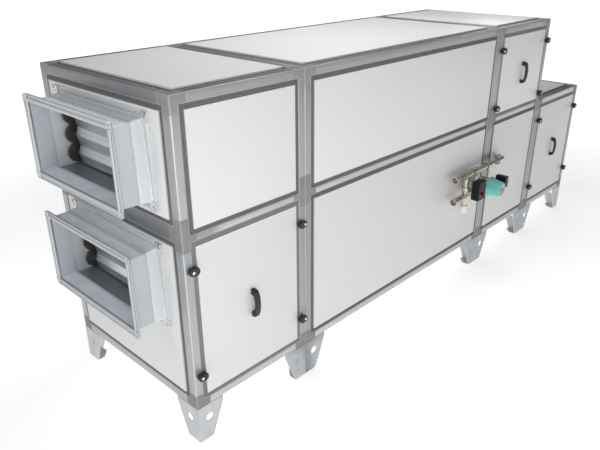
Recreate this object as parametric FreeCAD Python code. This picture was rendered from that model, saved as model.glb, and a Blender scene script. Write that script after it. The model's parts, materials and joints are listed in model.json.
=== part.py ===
import FreeCAD, Part
import math
import os

# Air handling unit: two tiers of insulated sections in an aluminium frame, with two flexible duct
# connectors, their gear-driven dampers, lift-off access doors and a water mixing group.
# Millimetres. +X runs along the unit from the duct end, the service side faces -Y, +Z is up.
# The model is worked out with the outer corner of the duct end at x = 0, the service side at y = 0
# and the floor at z = 0, and moved at the end so that the origin is under the middle of its box.

# Sections and levels
filter_section_length = 600.0
long_section_length = 1500.0
door_section_length = 600.0
end_section_length = 600.0
section_lengths = (filter_section_length, long_section_length, door_section_length, end_section_length)
tall_sections = 3
unit_width = 850.0
leg_height = 162.0
lower_tier_height = 728.0
upper_tier_height = 480.0

# Frame profile: the face that shows is narrower on the long sides than on the ends and roof
rail_along = 32.0
rail_across = 40.0
rail_side_height = 32.0
rail_end_height = 36.0
seal_width = 21.0
rebate = 4.0
frame_edge_chamfer = 3.0
corner_arm = 64.0
mid_rail_face = 22.0
mid_rail_drop = 16.0
end_rail_face = 58.0
tee_height = 126.0

# Panels and seals
panel_thickness = 50.0
panel_proud = 2.0
end_panel_proud = 4.0
roof_panel_proud = 5.0
panel_gap = 0.3
seal_thickness = 3.0
deck_thickness = 30.0

# Legs: two tapered plates and two flanges bent from one sheet
leg_sheet = 3.0
leg_top_x = 126.0
leg_foot_x = 66.0
leg_top_y = 132.0
leg_foot_y = 74.0
leg_straight = 17.0
leg_hole_radius = 17.0
leg_hole_inset = 54.0
leg_hole_height = 100.0

# Flexible duct connectors
duct_width = 556.0
duct_height = 273.0
upper_duct_drop = 241.5
lower_duct_drop = 229.0
front_flange_rail = 29.0
rear_flange_rail = 38.0
flange_depth = 9.0
flange_face = 3.0
flange_bead_start = 6.0
flange_bead_end = 15.0
collar_sheet = 2.0
rear_collar_reach = 50.0
front_collar_reach = 11.0
connector_reach = 138.0
fabric_thickness = 2.5
fabric_lap = 10.0
flange_hole_radius = 4.5

# Dampers: opposed blades that mesh through a gear on each blade
blade_count = 3
blade_pitch = 76.0
blade_set_back = 23.0
blade_gap = 5.0
blade_edge = 3.0
blade_ridge = 24.0
blade_crest = 5.0
blade_shaft_radius = 6.0
shaft_clearance = 0.08
casing_sheet = 3.0
casing_depth = 118.0
casing_fit = 0.3
filler_thickness = 4.0
gear_teeth = 30
gear_thickness = 12.0
gear_wall_gap = 6.0
gear_blade_gap = 2.0
gear_backlash = 0.5
gear_addendum = 0.7
gear_dedendum = 1.15
pressure_angle = 20.0
blade_opening = 90.0

# Door handles and turn clamps
handle_length = 121.0
handle_width = 26.0
handle_height = 35.0
handle_grip = 12.0
handle_foot = 20.0
handle_bow = 2.5
handle_heel = 9.0
handle_knee_out = 25.0
handle_knee_in = 7.0
handle_taper = 3.0
handle_drops = {"door_1": 16.0, "door_3": 11.0, "door_4": 0.0}
clamp_inset = 22.0
clamp_spacing_tall = 446.0
clamp_spacing_short = 312.0
clamp_lift_tall = 6.0
clamp_lift_short = -17.0
clamp_boss_radius = 8.0
clamp_boss_height = 8.0
clamp_gap = 0.3
clamp_thickness = 15.0
clamp_small_radius = 14.5
clamp_lobe_radius = 17.0
clamp_lobe_offset = 12.5
clamp_foot_radius = 6.0
clamp_foot_reach = 21.5
clamp_rim_chamfer = 2.0

# Water mixing group on the service side. Its pieces are placed from the valve along the line.
pipe_stand_off = 52.0
pipe_radius = 16.5
fitting_radius = 21.5
rim_chamfer = 1.0
nut_radius = 24.0
socket_radius = 14.1
socket_depth = 30.0
supply_drop = 243.0
return_drop = 366.0
valve_x = 1803.0
line_lead = 118.0
bypass_after_valve = 83.0
pump_after_valve = 195.0
coil_after_pump = 198.0
end_fitting_length = 34.0
elbow_radius = 24.0
tee_half_length = 30.0
bypass_tee_half_length = 26.0
line_union_start = 170.0
line_union_end = 96.0
elbow_sleeve_length = 46.0
valve_radius = 19.0
valve_nut_level = 574.0
valve_nut_height = 18.0
valve_neck_radius = 14.0
valve_waist_radius = 16.0
valve_tail = 33.0
valve_foot_height = 9.0
valve_cap_radius = 18.0
valve_cap_height = 38.0
valve_cap_shoulder = 8.0
outlet_fitting_length = 50.0
bypass_radius = 12.0
bypass_sleeve_radius = 16.0
bypass_sleeve_length = 28.0
actuator_width = 76.0
actuator_height = 104.0
actuator_depth = 44.0
actuator_stand_off = 96.0
actuator_left = 18.0
actuator_lift = 52.0
actuator_edge_chamfer = 4.0
dial_radius = 11.0
dial_height = 9.0
dial_gap = 0.3
dial_drop = 17.3
dial_bar_width = 5.5
dial_bar_length = 19.8
pump_rise = 17.0
pump_volute_radius = 46.0
pump_volute_back = 23.0
pump_flange_radius = 53.0
pump_lobe_radius = 8.5
pump_lobe_circle = 51.5
pump_bolts = 4
pump_flange_thickness = 9.0
pump_flange_plane = 94.0
pump_motor_length = 72.0
pump_motor_start_radius = 51.0
pump_motor_end_radius = 40.0
pump_disc_radius = 34.0
pump_disc_thickness = 2.0
pump_plug_radius = 8.0
pump_plug_height = 5.0
pump_union_reach = 88.0
pump_union_sleeve = 20.0
pump_union_nut = 24.0
terminal_width = 42.0
terminal_height = 62.0
terminal_depth = 64.0
terminal_set_back = 1.0
terminal_lift = 24.0

V = FreeCAD.Vector
X_AXIS = V(1, 0, 0)
Y_AXIS = V(0, 1, 0)
Z_AXIS = V(0, 0, 1)

# Levels and reaches that follow from the sizes above
bar_along = rail_along + seal_width
bar_across = rail_across + seal_width
bar_side_height = rail_side_height + seal_width
bar_end_height = rail_end_height + seal_width
section_starts = [sum(section_lengths[:i]) for i in range(len(section_lengths) + 1)]
unit_length = section_starts[-1]
tall_end = section_starts[tall_sections]
floor_level = leg_height
step_level = leg_height + lower_tier_height
top_level = step_level + upper_tier_height
mid_level = step_level - mid_rail_drop
mid_half = mid_rail_face / 2 + seal_width
end_mid_half = end_rail_face / 2 + seal_width
tee_bottom = step_level - tee_height / 2
upper_duct_level = top_level - upper_duct_drop
lower_duct_level = step_level - lower_duct_drop
duct_centre_y = unit_width / 2
gear_pitch_radius = blade_pitch / 2
gear_module = blade_pitch / gear_teeth
gear_tip_radius = gear_pitch_radius + gear_addendum * gear_module
blade_chord = blade_pitch - blade_gap
supply_level = step_level - supply_drop
return_level = step_level - return_drop
pump_level = return_level + pump_rise
line_start_x = valve_x - line_lead
bypass_x = valve_x + bypass_after_valve
pump_x = valve_x + pump_after_valve
coil_inlet_x = pump_x + coil_after_pump
motor_front = pump_flange_plane + pump_motor_length
service_reach = motor_front + pump_disc_thickness + pump_plug_height
origin_x = (unit_length + end_panel_proud - connector_reach) / 2
origin_y = (unit_width + panel_proud - service_reach) / 2


def box(x0, x1, y0, y1, z0, z1):
    """Box between two corners."""
    return Part.makeBox(x1 - x0, y1 - y0, z1 - z0, V(x0, y0, z0))


def cylinder(start, axis, length, radius):
    """Round bar from a point along an axis."""
    return Part.makeCylinder(radius, length, start, axis)


def prism(points, travel):
    """Flat polygon carried along a vector."""
    wire = Part.makePolygon(list(points) + [points[0]])
    return Part.Face(wire).extrude(travel)


def frame_bar(corner, along, length, inward_a, face_a, inward_b, face_b):
    """Corner profile of the frame: two faces that show, each with a rebate for the seal beside it.

    corner is on the bar's outer edge. Each inward vector runs over one of its two outer faces, as far as
    the face that goes with it and the seal beyond."""
    deep_a = face_a + seal_width
    deep_b = face_b + seal_width
    flat = [(frame_edge_chamfer, 0), (face_a, 0), (face_a, rebate), (deep_a, rebate), (deep_a, deep_b),
            (rebate, deep_b), (rebate, face_b), (0, face_b), (0, frame_edge_chamfer)]
    return prism([corner + inward_a * a + inward_b * b for a, b in flat], along * length)


def mid_bar(centre, along, length, inward, depth, face):
    """Rail between two panels: a raised face with a rebate above and below it."""
    tall = face / 2 + seal_width
    flat = [(0, face / 2), (rebate, face / 2), (rebate, tall), (depth, tall),
            (depth, -tall), (rebate, -tall), (rebate, -face / 2), (0, -face / 2)]
    return prism([centre + inward * a + Z_AXIS * b for a, b in flat], along * length)


def corner_template():
    """Moulded corner at the origin, with an arm of the frame's section along +X, +Y and +Z."""
    arm = corner_arm
    body = box(0, arm, 0, arm, 0, arm)
    outer = [e for e in body.Edges if all(abs(v.Point.x * v.Point.y) + abs(v.Point.y * v.Point.z)
                                          + abs(v.Point.x * v.Point.z) < 1 for v in e.Vertexes)]
    body = body.makeChamfer(frame_edge_chamfer, outer)
    for cut in (box(rail_along, arm, rail_across, arm, 0, rebate),
                box(rail_along, arm, 0, rebate, rail_side_height, arm),
                box(0, rebate, rail_across, arm, rail_end_height, arm),
                box(bar_along, arm, bar_across, arm, 0, arm),
                box(bar_along, arm, 0, arm, bar_side_height, arm),
                box(0, arm, bar_across, arm, bar_end_height, arm)):
        body = body.cut(cut)
    return body


def tee_template():
    """Moulded tee at mid height, its base at z = 0, with a short arm on each of its two faces."""
    arm = corner_arm
    high = tee_height
    long_mid = mid_level - tee_bottom
    end_mid = high / 2
    body = box(0, arm, 0, arm, 0, high)
    outer = [e for e in body.Edges if all(abs(v.Point.x) + abs(v.Point.y) < 0.1 for v in e.Vertexes)]
    body = body.makeChamfer(frame_edge_chamfer, outer)
    cuts = [box(bar_along, arm, bar_across, arm, 0, high),
            box(rail_along, arm, 0, rebate, 0, long_mid - mid_rail_face / 2),
            box(rail_along, arm, 0, rebate, long_mid + mid_rail_face / 2, high),
            box(0, rebate, rail_across, arm, 0, end_mid - end_rail_face / 2),
            box(0, rebate, rail_across, arm, end_mid + end_rail_face / 2, high),
            box(bar_along, arm, 0, bar_across, 0, long_mid - mid_half),
            box(bar_along, arm, 0, bar_across, long_mid + mid_half, high),
            box(0, bar_along, bar_across, arm, 0, end_mid - end_mid_half),
            box(0, bar_along, bar_across, arm, end_mid + end_mid_half, high)]
    for cut in cuts:
        body = body.cut(cut)
    return body


def placed(template, x, y, z, flip_x=False, flip_y=False, flip_z=False):
    """Copy of a template, mirrored through the planes named and moved."""
    shape = template.copy()
    for flip, axis in ((flip_x, X_AXIS), (flip_y, Y_AXIS), (flip_z, Z_AXIS)):
        if flip:
            shape = shape.mirror(V(0, 0, 0), axis)
    shape.translate(V(x, y, z))
    return shape


def section_ends(index):
    """Both ends of a section along X, each with the direction that points into it."""
    return ((section_starts[index], X_AXIS), (section_starts[index + 1], -X_AXIS))


def unit_sides():
    """Both long sides, each with the direction that points into the unit."""
    return ((0.0, Y_AXIS), (unit_width, -Y_AXIS))


def section_top(index):
    """Outer top of a section's frame."""
    return top_level if index < tall_sections else step_level


def section_frame(index):
    """Bars of one section's frame, each a solid that ends at the moulded corners."""
    start, end = section_starts[index], section_starts[index + 1]
    tall = index < tall_sections
    top = section_top(index)
    run_x = end - start - 2 * corner_arm
    run_y = unit_width - 2 * corner_arm
    bars = []
    for y, into_y in unit_sides():
        for z, into_z in ((floor_level, Z_AXIS), (top, -Z_AXIS)):
            bars.append(frame_bar(V(start + corner_arm, y, z), X_AXIS, run_x,
                                  into_y, rail_across, into_z, rail_side_height))
        if tall:
            bars.append(mid_bar(V(start + corner_arm, y, mid_level), X_AXIS, run_x, into_y, bar_across,
                                mid_rail_face))
    for x, into_x in section_ends(index):
        for z, into_z in ((floor_level, Z_AXIS), (top, -Z_AXIS)):
            bars.append(frame_bar(V(x, corner_arm, z), Y_AXIS, run_y,
                                  into_x, rail_along, into_z, rail_end_height))
        if tall:
            bars.append(mid_bar(V(x, corner_arm, step_level), Y_AXIS, run_y, into_x, bar_along,
                                end_rail_face))
        stops = [floor_level + corner_arm, top - corner_arm]
        if tall:
            stops[1:1] = [tee_bottom, tee_bottom + tee_height]
        for y, into_y in unit_sides():
            for low, high in zip(stops[::2], stops[1::2]):
                bars.append(frame_bar(V(x, y, low), Z_AXIS, high - low,
                                      into_x, rail_along, into_y, rail_across))
    return bars


def corner_pieces():
    """Every moulded corner and tee of the frame."""
    corner = corner_template()
    tee = tee_template()
    pieces = []
    for index in range(len(section_lengths)):
        top = section_top(index)
        for x, into_x in section_ends(index):
            for y, into_y in unit_sides():
                flips = (into_x.x < 0, into_y.y < 0)
                pieces.append(placed(corner, x, y, floor_level, *flips))
                pieces.append(placed(corner, x, y, top, *flips, flip_z=True))
                if index < tall_sections:
                    pieces.append(placed(tee, x, y, tee_bottom, *flips))
    return pieces


def side_cells():
    """White area of each long-side panel: section, tier name, x and z limits."""
    cells = []
    for index in range(len(section_lengths)):
        x0 = section_starts[index] + bar_along
        x1 = section_starts[index + 1] - bar_along
        low = floor_level + bar_side_height
        if index < tall_sections:
            cells.append((index, "lower", x0, x1, low, mid_level - mid_half))
            cells.append((index, "upper", x0, x1, mid_level + mid_half, top_level - bar_side_height))
        else:
            cells.append((index, "lower", x0, x1, low, step_level - bar_side_height))
    return cells


def end_cells():
    """White area of each end panel: x of the outer face, direction into the unit, z limits."""
    low = floor_level + bar_end_height
    high = top_level - bar_end_height
    return (("duct_lower", 0.0, 1, low, step_level - end_mid_half),
            ("duct_upper", 0.0, 1, step_level + end_mid_half, high),
            ("far_upper", tall_end, -1, step_level + end_mid_half, high),
            ("far_lower", unit_length, -1, low, step_level - bar_end_height))


def side_panel(cell, back=False):
    """Sandwich panel of a long side, a little proud of the frame."""
    _, _, x0, x1, z0, z1 = cell
    y0 = unit_width + panel_proud - panel_thickness if back else -panel_proud
    return box(x0 + panel_gap, x1 - panel_gap, y0, y0 + panel_thickness, z0 + panel_gap, z1 - panel_gap)


def end_panel(cell):
    """Sandwich panel of an end."""
    _, x, into, z0, z1 = cell
    outer = x - into * end_panel_proud
    inner = outer + into * panel_thickness
    low, high = min(outer, inner), max(outer, inner)
    edge = bar_across + panel_gap
    return box(low, high, edge, unit_width - edge, z0 + panel_gap, z1 - panel_gap)


def duct_end_panel(cell, level):
    """End panel with the cut-out that the damper casing passes through."""
    half_y = duct_width / 2 + casing_sheet + casing_fit
    half_z = duct_height / 2 + casing_sheet + casing_fit
    hole = box(-end_panel_proud - 1, panel_thickness, duct_centre_y - half_y, duct_centre_y + half_y,
               level - half_z, level + half_z)
    return end_panel(cell).cut(hole)


def flat_panels(kind):
    """Roof, floor or deck slabs, one to a section."""
    slabs = []
    edge = bar_across + panel_gap
    for index in range(len(section_lengths)):
        x0 = section_starts[index] + bar_along + panel_gap
        x1 = section_starts[index + 1] - bar_along - panel_gap
        if kind == "roof":
            z1 = section_top(index) + roof_panel_proud
            z0 = z1 - panel_thickness
        elif kind == "floor":
            z0 = floor_level
            z1 = z0 + panel_thickness
        else:
            z0 = mid_level - deck_thickness / 2
            z1 = z0 + deck_thickness
        if kind != "deck" or index < tall_sections:
            slabs.append(box(x0, x1, edge, unit_width - edge, z0, z1))
    return slabs


def seal_ring(low, high, normal_axis, outer, into):
    """Seal round one panel: a flat ring in the frame's rebate, low and high being its white area."""
    near = outer + into * (rebate - seal_thickness)
    far = outer + into * rebate
    inner_low, inner_high = list(low), list(high)
    outer_low = [v - seal_width for v in low]
    outer_high = [v + seal_width for v in high]
    for limits, value in ((outer_low, min(near, far)), (outer_high, max(near, far)),
                          (inner_low, min(near, far) - 1), (inner_high, max(near, far) + 1)):
        limits[normal_axis] = value

    def solid(a, b):
        return box(a[0], b[0], a[1], b[1], a[2], b[2])

    return solid(outer_low, outer_high).cut(solid(inner_low, inner_high))


def seals():
    """Seal rings of every panel that shows."""
    rings = []
    for _, _, x0, x1, z0, z1 in side_cells():
        rings.append(seal_ring((x0, 0, z0), (x1, 0, z1), 1, 0.0, 1))
        rings.append(seal_ring((x0, 0, z0), (x1, 0, z1), 1, unit_width, -1))
    for _, x, into, z0, z1 in end_cells():
        rings.append(seal_ring((0, bar_across, z0), (0, unit_width - bar_across, z1), 0, x, into))
    for index in range(len(section_lengths)):
        x0 = section_starts[index] + bar_along
        x1 = section_starts[index + 1] - bar_along
        for z, into in ((section_top(index), -1), (floor_level, 1)):
            rings.append(seal_ring((x0, bar_across, 0), (x1, unit_width - bar_across, 0), 2, z, into))
    return rings


def leg_template():
    """Leg bent from sheet: two tapered plates with a hole each, a foot flange and a top flange."""
    high = leg_height
    shoulder = high - leg_straight
    plate_x = prism([V(0, 0, 0), V(leg_foot_x, 0, 0), V(leg_top_x, 0, shoulder), V(leg_top_x, 0, high),
                     V(0, 0, high)], V(0, leg_sheet, 0))
    plate_y = prism([V(0, 0, 0), V(0, leg_foot_y, 0), V(0, leg_top_y, shoulder), V(0, leg_top_y, high),
                     V(0, 0, high)], V(leg_sheet, 0, 0))
    foot = prism([V(0, 0, 0), V(leg_foot_x, 0, 0), V(leg_foot_x, leg_foot_y / 2, 0),
                  V(leg_foot_x / 2, leg_foot_y, 0), V(0, leg_foot_y, 0)], V(0, 0, leg_sheet))
    top = box(0, bar_along, 0, bar_across, high - leg_sheet, high)
    body = plate_x.fuse([plate_y, foot, top]).removeSplitter()
    through = leg_sheet + 2
    for hole in (cylinder(V(leg_hole_inset, -1, leg_hole_height), Y_AXIS, through, leg_hole_radius),
                 cylinder(V(-1, leg_hole_inset, leg_hole_height), X_AXIS, through, leg_hole_radius)):
        body = body.cut(hole)
    return body


def legs():
    """A leg under each corner of each section."""
    leg = leg_template()
    made = []
    for index in range(len(section_lengths)):
        for x, into_x in section_ends(index):
            for y, into_y in unit_sides():
                made.append(placed(leg, x, y, 0, into_x.x < 0, into_y.y < 0))
    return made


def duct_ring(level, x0, x1, inner, outer):
    """Rectangular ring round a duct, its inner and outer edges measured out from the duct's wall."""
    def block(x_low, x_high, grow):
        half_y = duct_width / 2 + grow
        half_z = duct_height / 2 + grow
        return box(x_low, x_high, duct_centre_y - half_y, duct_centre_y + half_y,
                   level - half_z, level + half_z)

    return block(x0, x1, outer).cut(block(x0 - 1, x1 + 1, inner))


def duct_flange(level, face, into, rail, collar_reach):
    """Rolled flange of a flexible connector: face plate, bead, hem and the collar behind it.

    face is the x of its mating face, into the direction towards the fabric."""
    def ring(near, far, inner, outer):
        ends = sorted((face + into * near, face + into * far))
        return duct_ring(level, ends[0], ends[1], inner, outer)

    plate = ring(0, flange_face, 0, rail)
    bead = ring(flange_face, flange_depth, flange_bead_start, flange_bead_end)
    hem = ring(flange_face, flange_depth, rail - flange_face, rail)
    collar = ring(flange_face, collar_reach, 0, collar_sheet)
    body = plate.fuse([bead, hem, collar]).removeSplitter()
    drill_y = (duct_width + rail) / 2
    drill_z = (duct_height + rail) / 2
    start = min(face, face + into * flange_depth) - 1
    for side in (-1, 1):
        for lift in (-1, 1):
            centre = V(start, duct_centre_y + side * drill_y, level + lift * drill_z)
            body = body.cut(cylinder(centre, X_AXIS, flange_depth + 2, flange_hole_radius))
    return body


def fabric_sleeve(level):
    """Fabric between the two collars, lapped over them."""
    x0 = -connector_reach + flange_face + panel_gap
    x1 = -end_panel_proud - rear_collar_reach + fabric_lap
    return duct_ring(level, x0, x1, collar_sheet + panel_gap, collar_sheet + panel_gap + fabric_thickness)


def blade_level(level, number):
    """Height of a blade's shaft, the first being just clear of the casing's floor."""
    return level - duct_height / 2 + blade_gap + gear_tip_radius + number * blade_pitch


def damper_casing(level):
    """Sheet casing of a damper, with shaft holes and the fixed strip above the last blade."""
    body = duct_ring(level, -end_panel_proud, casing_depth, 0, casing_sheet)
    strip_low = blade_level(level, blade_count - 1) + gear_tip_radius + blade_gap
    strip = box(blade_set_back - filler_thickness / 2, blade_set_back + filler_thickness / 2,
                duct_centre_y - duct_width / 2, duct_centre_y + duct_width / 2,
                strip_low, level + duct_height / 2)
    body = body.fuse(strip).removeSplitter()
    reach = duct_width / 2 + casing_sheet + 1
    for number in range(blade_count):
        start = V(blade_set_back, duct_centre_y - reach, blade_level(level, number))
        body = body.cut(cylinder(start, Y_AXIS, 2 * reach, blade_shaft_radius + shaft_clearance))
    return body


def gear_wheel(centre, shifted):
    """Spur gear in the XZ plane, turned by half a tooth if shifted.

    Each flank is a straight line from the root to the involute's point on the tip circle."""
    alpha = math.radians(pressure_angle)
    base = gear_pitch_radius * math.cos(alpha)
    root = gear_pitch_radius - gear_dedendum * gear_module
    half_tooth = math.pi / (2 * gear_teeth) - gear_backlash / (2 * gear_pitch_radius)

    def half_angle(radius):
        if radius <= base:
            return half_tooth + math.tan(alpha) - alpha
        beta = math.acos(base / radius)
        return half_tooth + math.tan(alpha) - alpha - math.tan(beta) + beta

    radii = (root, gear_tip_radius)
    points = []
    for tooth in range(gear_teeth):
        middle = 2 * math.pi * (tooth + (0.5 if shifted else 0.0)) / gear_teeth
        flank = [(r, -half_angle(r)) for r in radii] + [(r, half_angle(r)) for r in reversed(radii)]
        for radius, turn in flank:
            points.append(centre + V(radius * math.cos(middle + turn), 0, radius * math.sin(middle + turn)))
    return prism(points, V(0, gear_thickness, 0))


def damper_blade(level, number):
    """Ridged blade on its shaft, with its gear at the far end."""
    z = blade_level(level, number)
    low = duct_centre_y - duct_width / 2
    high = duct_centre_y + duct_width / 2
    gear_end = high - gear_wall_gap
    blade_start = low + gear_wall_gap
    blade_end = gear_end - gear_thickness - gear_blade_gap
    half = blade_chord / 2
    edge = blade_edge / 2
    ridge = blade_ridge / 2
    crest = blade_crest / 2
    at = V(blade_set_back, blade_start, z)
    front = [(-edge, half), (-ridge, crest), (-ridge, -crest), (-edge, -half)]
    back = [(-a, -b) for a, b in front]
    blade = prism([at + V(a, 0, b) for a, b in front + back], V(0, blade_end - blade_start, 0))
    shaft = cylinder(V(blade_set_back, low - casing_sheet, z), Y_AXIS, duct_width + 2 * casing_sheet,
                     blade_shaft_radius)
    gear = gear_wheel(V(blade_set_back, gear_end - gear_thickness, z), number % 2 == 1)
    return blade.fuse([shaft, gear]).removeSplitter()


def bridge_handle(x, z):
    """Bowed bridge handle on the door's face: two feet and a grip, cut from one bent outline.

    Up from its heel the outer line is an arc over the knee to the bow. The inner line leaves the door
    inside the foot and tapers up to the underside of the grip."""
    half = handle_length / 2
    bend = half - handle_foot
    shoulder = handle_height - handle_bow
    hollow = bend - handle_taper
    under = shoulder - handle_grip

    def at(along, out):
        return V(x - handle_width / 2, -panel_proud - out, z + along)

    def line(a, b):
        return Part.LineSegment(at(*a), at(*b)).toShape()

    def arc(a, b, c):
        return Part.Arc(at(*a), at(*b), at(*c)).toShape()

    outline = [line((-half, 0), (-half, handle_heel)),
               arc((-half, handle_heel), (handle_knee_in - half, handle_knee_out), (-bend, shoulder)),
               arc((-bend, shoulder), (0, handle_height), (bend, shoulder)),
               arc((bend, shoulder), (half - handle_knee_in, handle_knee_out), (half, handle_heel)),
               line((half, handle_heel), (half, 0)),
               line((half, 0), (bend, 0)),
               line((bend, 0), (hollow, under)),
               arc((hollow, under), (0, under + handle_bow), (-hollow, under)),
               line((-hollow, under), (-bend, 0)),
               line((-bend, 0), (-half, 0))]
    return Part.Face(Part.Wire(outline)).extrude(V(handle_width, 0, 0))


def egg_outline(pivot, toward, small, large, offset):
    """Closed outline round a small circle at the pivot and a large one beside it, with their tangents."""
    lean = math.asin((large - small) / offset)
    middle = pivot + X_AXIS * (toward * offset)

    def on(centre, radius, turn):
        return centre + V(-toward * radius * math.sin(turn), 0, radius * math.cos(turn))

    small_top, small_bottom = on(pivot, small, lean), on(pivot, small, math.pi - lean)
    large_top, large_bottom = on(middle, large, lean), on(middle, large, math.pi - lean)
    return [Part.Arc(small_top, pivot - X_AXIS * (toward * small), small_bottom).toShape(),
            Part.LineSegment(small_bottom, large_bottom).toShape(),
            Part.Arc(large_bottom, middle + X_AXIS * (toward * large), large_top).toShape(),
            Part.LineSegment(large_top, small_top).toShape()]


def turn_clamp(x, z, toward):
    """Turn clamp on the frame: a boss, an egg-shaped lobe over the door's edge and a pressing foot."""
    seat = V(x, -clamp_boss_height, z)
    rim = egg_outline(seat, toward, clamp_small_radius, clamp_lobe_radius, clamp_lobe_offset)
    lobe = Part.Face(Part.Wire(rim)).extrude(V(0, -clamp_thickness, 0))
    front = -clamp_boss_height - clamp_thickness
    front_rim = [e for e in lobe.Edges if all(abs(v.Point.y - front) < 0.01 for v in e.Vertexes)]
    lobe = lobe.makeChamfer(clamp_rim_chamfer, front_rim)
    boss = cylinder(V(x, -clamp_gap, z), -Y_AXIS, clamp_boss_height - clamp_gap, clamp_boss_radius)
    door_face = V(x + toward * clamp_foot_reach, -panel_proud - clamp_gap, z)
    foot = cylinder(door_face, -Y_AXIS, clamp_boss_height - panel_proud - clamp_gap, clamp_foot_radius)
    return fused([lobe, boss, foot])


def turned_rings(centre, axis, steps):
    """Turned pieces along an axis, with chamfered rims: steps are (start, end, radius) from centre."""
    side = Z_AXIS if abs(axis.z) < 0.5 else X_AXIS
    parts = []
    for start, end, radius in steps:
        flat = [(start, 0), (start, radius - rim_chamfer), (start + rim_chamfer, radius),
                (end - rim_chamfer, radius), (end, radius - rim_chamfer), (end, 0)]
        points = [centre + axis * a + side * b for a, b in flat]
        wire = Part.makePolygon(points + [points[0]])
        parts.append(Part.Face(wire).revolve(centre, axis, 360))
    return parts


def hex_nut(centre, axis, start, end):
    """Hexagonal union nut round a pipe."""
    side = Z_AXIS if abs(axis.z) < 0.5 else X_AXIS
    other = axis.cross(side)
    points = []
    for corner in range(6):
        turn = math.radians(60 * corner)
        points.append(centre + axis * start + side * (nut_radius * math.cos(turn))
                      + other * (nut_radius * math.sin(turn)))
    return prism(points, axis * (end - start))


def elbow_into_panel(x, level):
    """Quarter bend from the line's run towards the panel, with the stub that enters it."""
    centre = V(x, -pipe_stand_off, level)
    bend = elbow_radius
    pivot = centre + V(-bend, bend, 0)
    disc = Part.Face(Part.Wire(Part.makeCircle(fitting_radius - 1, centre + V(-bend, 0, 0), X_AXIS)))
    quarter = disc.revolve(pivot, Z_AXIS, 90)
    stub_start = centre + V(0, bend, 0)
    stub = cylinder(stub_start, Y_AXIS, pipe_stand_off - bend - panel_proud, pipe_radius)
    return [quarter, stub]


def fused(parts):
    """One solid from touching parts."""
    return parts[0].fuse(parts[1:]).removeSplitter()


def supply_line():
    """Upper line of the mixing group, from its open end to the bend into the coil section."""
    centre = V(line_start_x, -pipe_stand_off, supply_level)
    run = coil_inlet_x - elbow_radius - line_start_x
    tee = line_lead
    bypass = bypass_x - line_start_x
    steps = [(0, end_fitting_length, fitting_radius),
             (0, run, pipe_radius),
             (tee - tee_half_length, tee + tee_half_length, fitting_radius),
             (bypass - bypass_tee_half_length, bypass + bypass_tee_half_length, fitting_radius),
             (run - line_union_start, run - line_union_end, fitting_radius),
             (run - elbow_sleeve_length, run, fitting_radius)]
    parts = turned_rings(centre, X_AXIS, steps)
    parts.append(hex_nut(centre, X_AXIS, run - line_union_end, run - line_union_end + pump_union_nut))
    parts += elbow_into_panel(coil_inlet_x, supply_level)
    neck_top = valve_nut_level + valve_nut_height / 2
    parts.append(cylinder(V(valve_x, -pipe_stand_off, neck_top), Z_AXIS, supply_level - neck_top,
                          pipe_radius))
    body = fused(parts)
    return body.cut(cylinder(centre + V(-1, 0, 0), X_AXIS, socket_depth + 1, socket_radius))


def return_line():
    """Lower line of the mixing group, from its open end to the valve."""
    centre = V(line_start_x, -pipe_stand_off, return_level)
    run = line_lead - valve_radius
    body = fused(turned_rings(centre, X_AXIS, [(0, end_fitting_length, fitting_radius),
                                               (0, run, pipe_radius)]))
    return body.cut(cylinder(centre + V(-1, 0, 0), X_AXIS, socket_depth + 1, socket_radius))


def mixing_valve():
    """Three-way valve between the lines: turned body, union nut, outlet and the neck for its actuator."""
    low = return_level - valve_radius - valve_tail
    centre = V(valve_x, -pipe_stand_off, low)
    nut_middle = valve_nut_level - low
    middle = return_level - low
    high = nut_middle + valve_nut_height / 2
    parts = turned_rings(centre, Z_AXIS, [(0, valve_foot_height, valve_radius),
                                          (0, high, valve_waist_radius),
                                          (middle - valve_radius, nut_middle, valve_radius)])
    parts.append(hex_nut(centre, Z_AXIS, high - valve_nut_height, high))
    neck_length = actuator_stand_off - pipe_stand_off
    neck_start = V(valve_x, -pipe_stand_off, return_level + actuator_lift / 2)
    parts.append(cylinder(neck_start, -Y_AXIS, neck_length, valve_neck_radius))
    outlet = pump_after_valve - pump_union_reach
    parts += turned_rings(V(valve_x, -pipe_stand_off, pump_level), X_AXIS,
                          [(0, outlet, pipe_radius),
                           (outlet - outlet_fitting_length, outlet, fitting_radius)])
    return fused(parts)


def valve_cap():
    """White plastic cap under the valve."""
    low = return_level - valve_radius - valve_tail
    return fused(turned_rings(V(valve_x, -pipe_stand_off, low), -Z_AXIS,
                              [(0, valve_cap_height, valve_waist_radius),
                               (valve_cap_shoulder, valve_cap_height, valve_cap_radius)]))


def bypass_line():
    """Short vertical line behind the actuator, saddled on to both lines."""
    low = pump_level + fitting_radius / 2
    high = supply_level - fitting_radius / 2
    length = high - low
    body = fused(turned_rings(V(bypass_x, -pipe_stand_off, low), Z_AXIS,
                              [(0, length, bypass_radius),
                               (0, bypass_sleeve_length, bypass_sleeve_radius),
                               (length - bypass_sleeve_length, length, bypass_sleeve_radius)]))
    for level in (supply_level, pump_level):
        start = V(bypass_x - 2 * bypass_sleeve_radius, -pipe_stand_off, level)
        body = body.cut(cylinder(start, X_AXIS, 4 * bypass_sleeve_radius, fitting_radius + panel_gap))
    return body


def valve_actuator():
    """Actuator box in front of the valve."""
    left = valve_x - actuator_left
    middle = return_level + actuator_lift
    body = box(left, left + actuator_width, -actuator_stand_off - actuator_depth, -actuator_stand_off,
               middle - actuator_height / 2, middle + actuator_height / 2)
    upright = [e for e in body.Edges if abs(e.Vertexes[0].Point.z - e.Vertexes[1].Point.z) > 1]
    return body.makeChamfer(actuator_edge_chamfer, upright)


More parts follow.
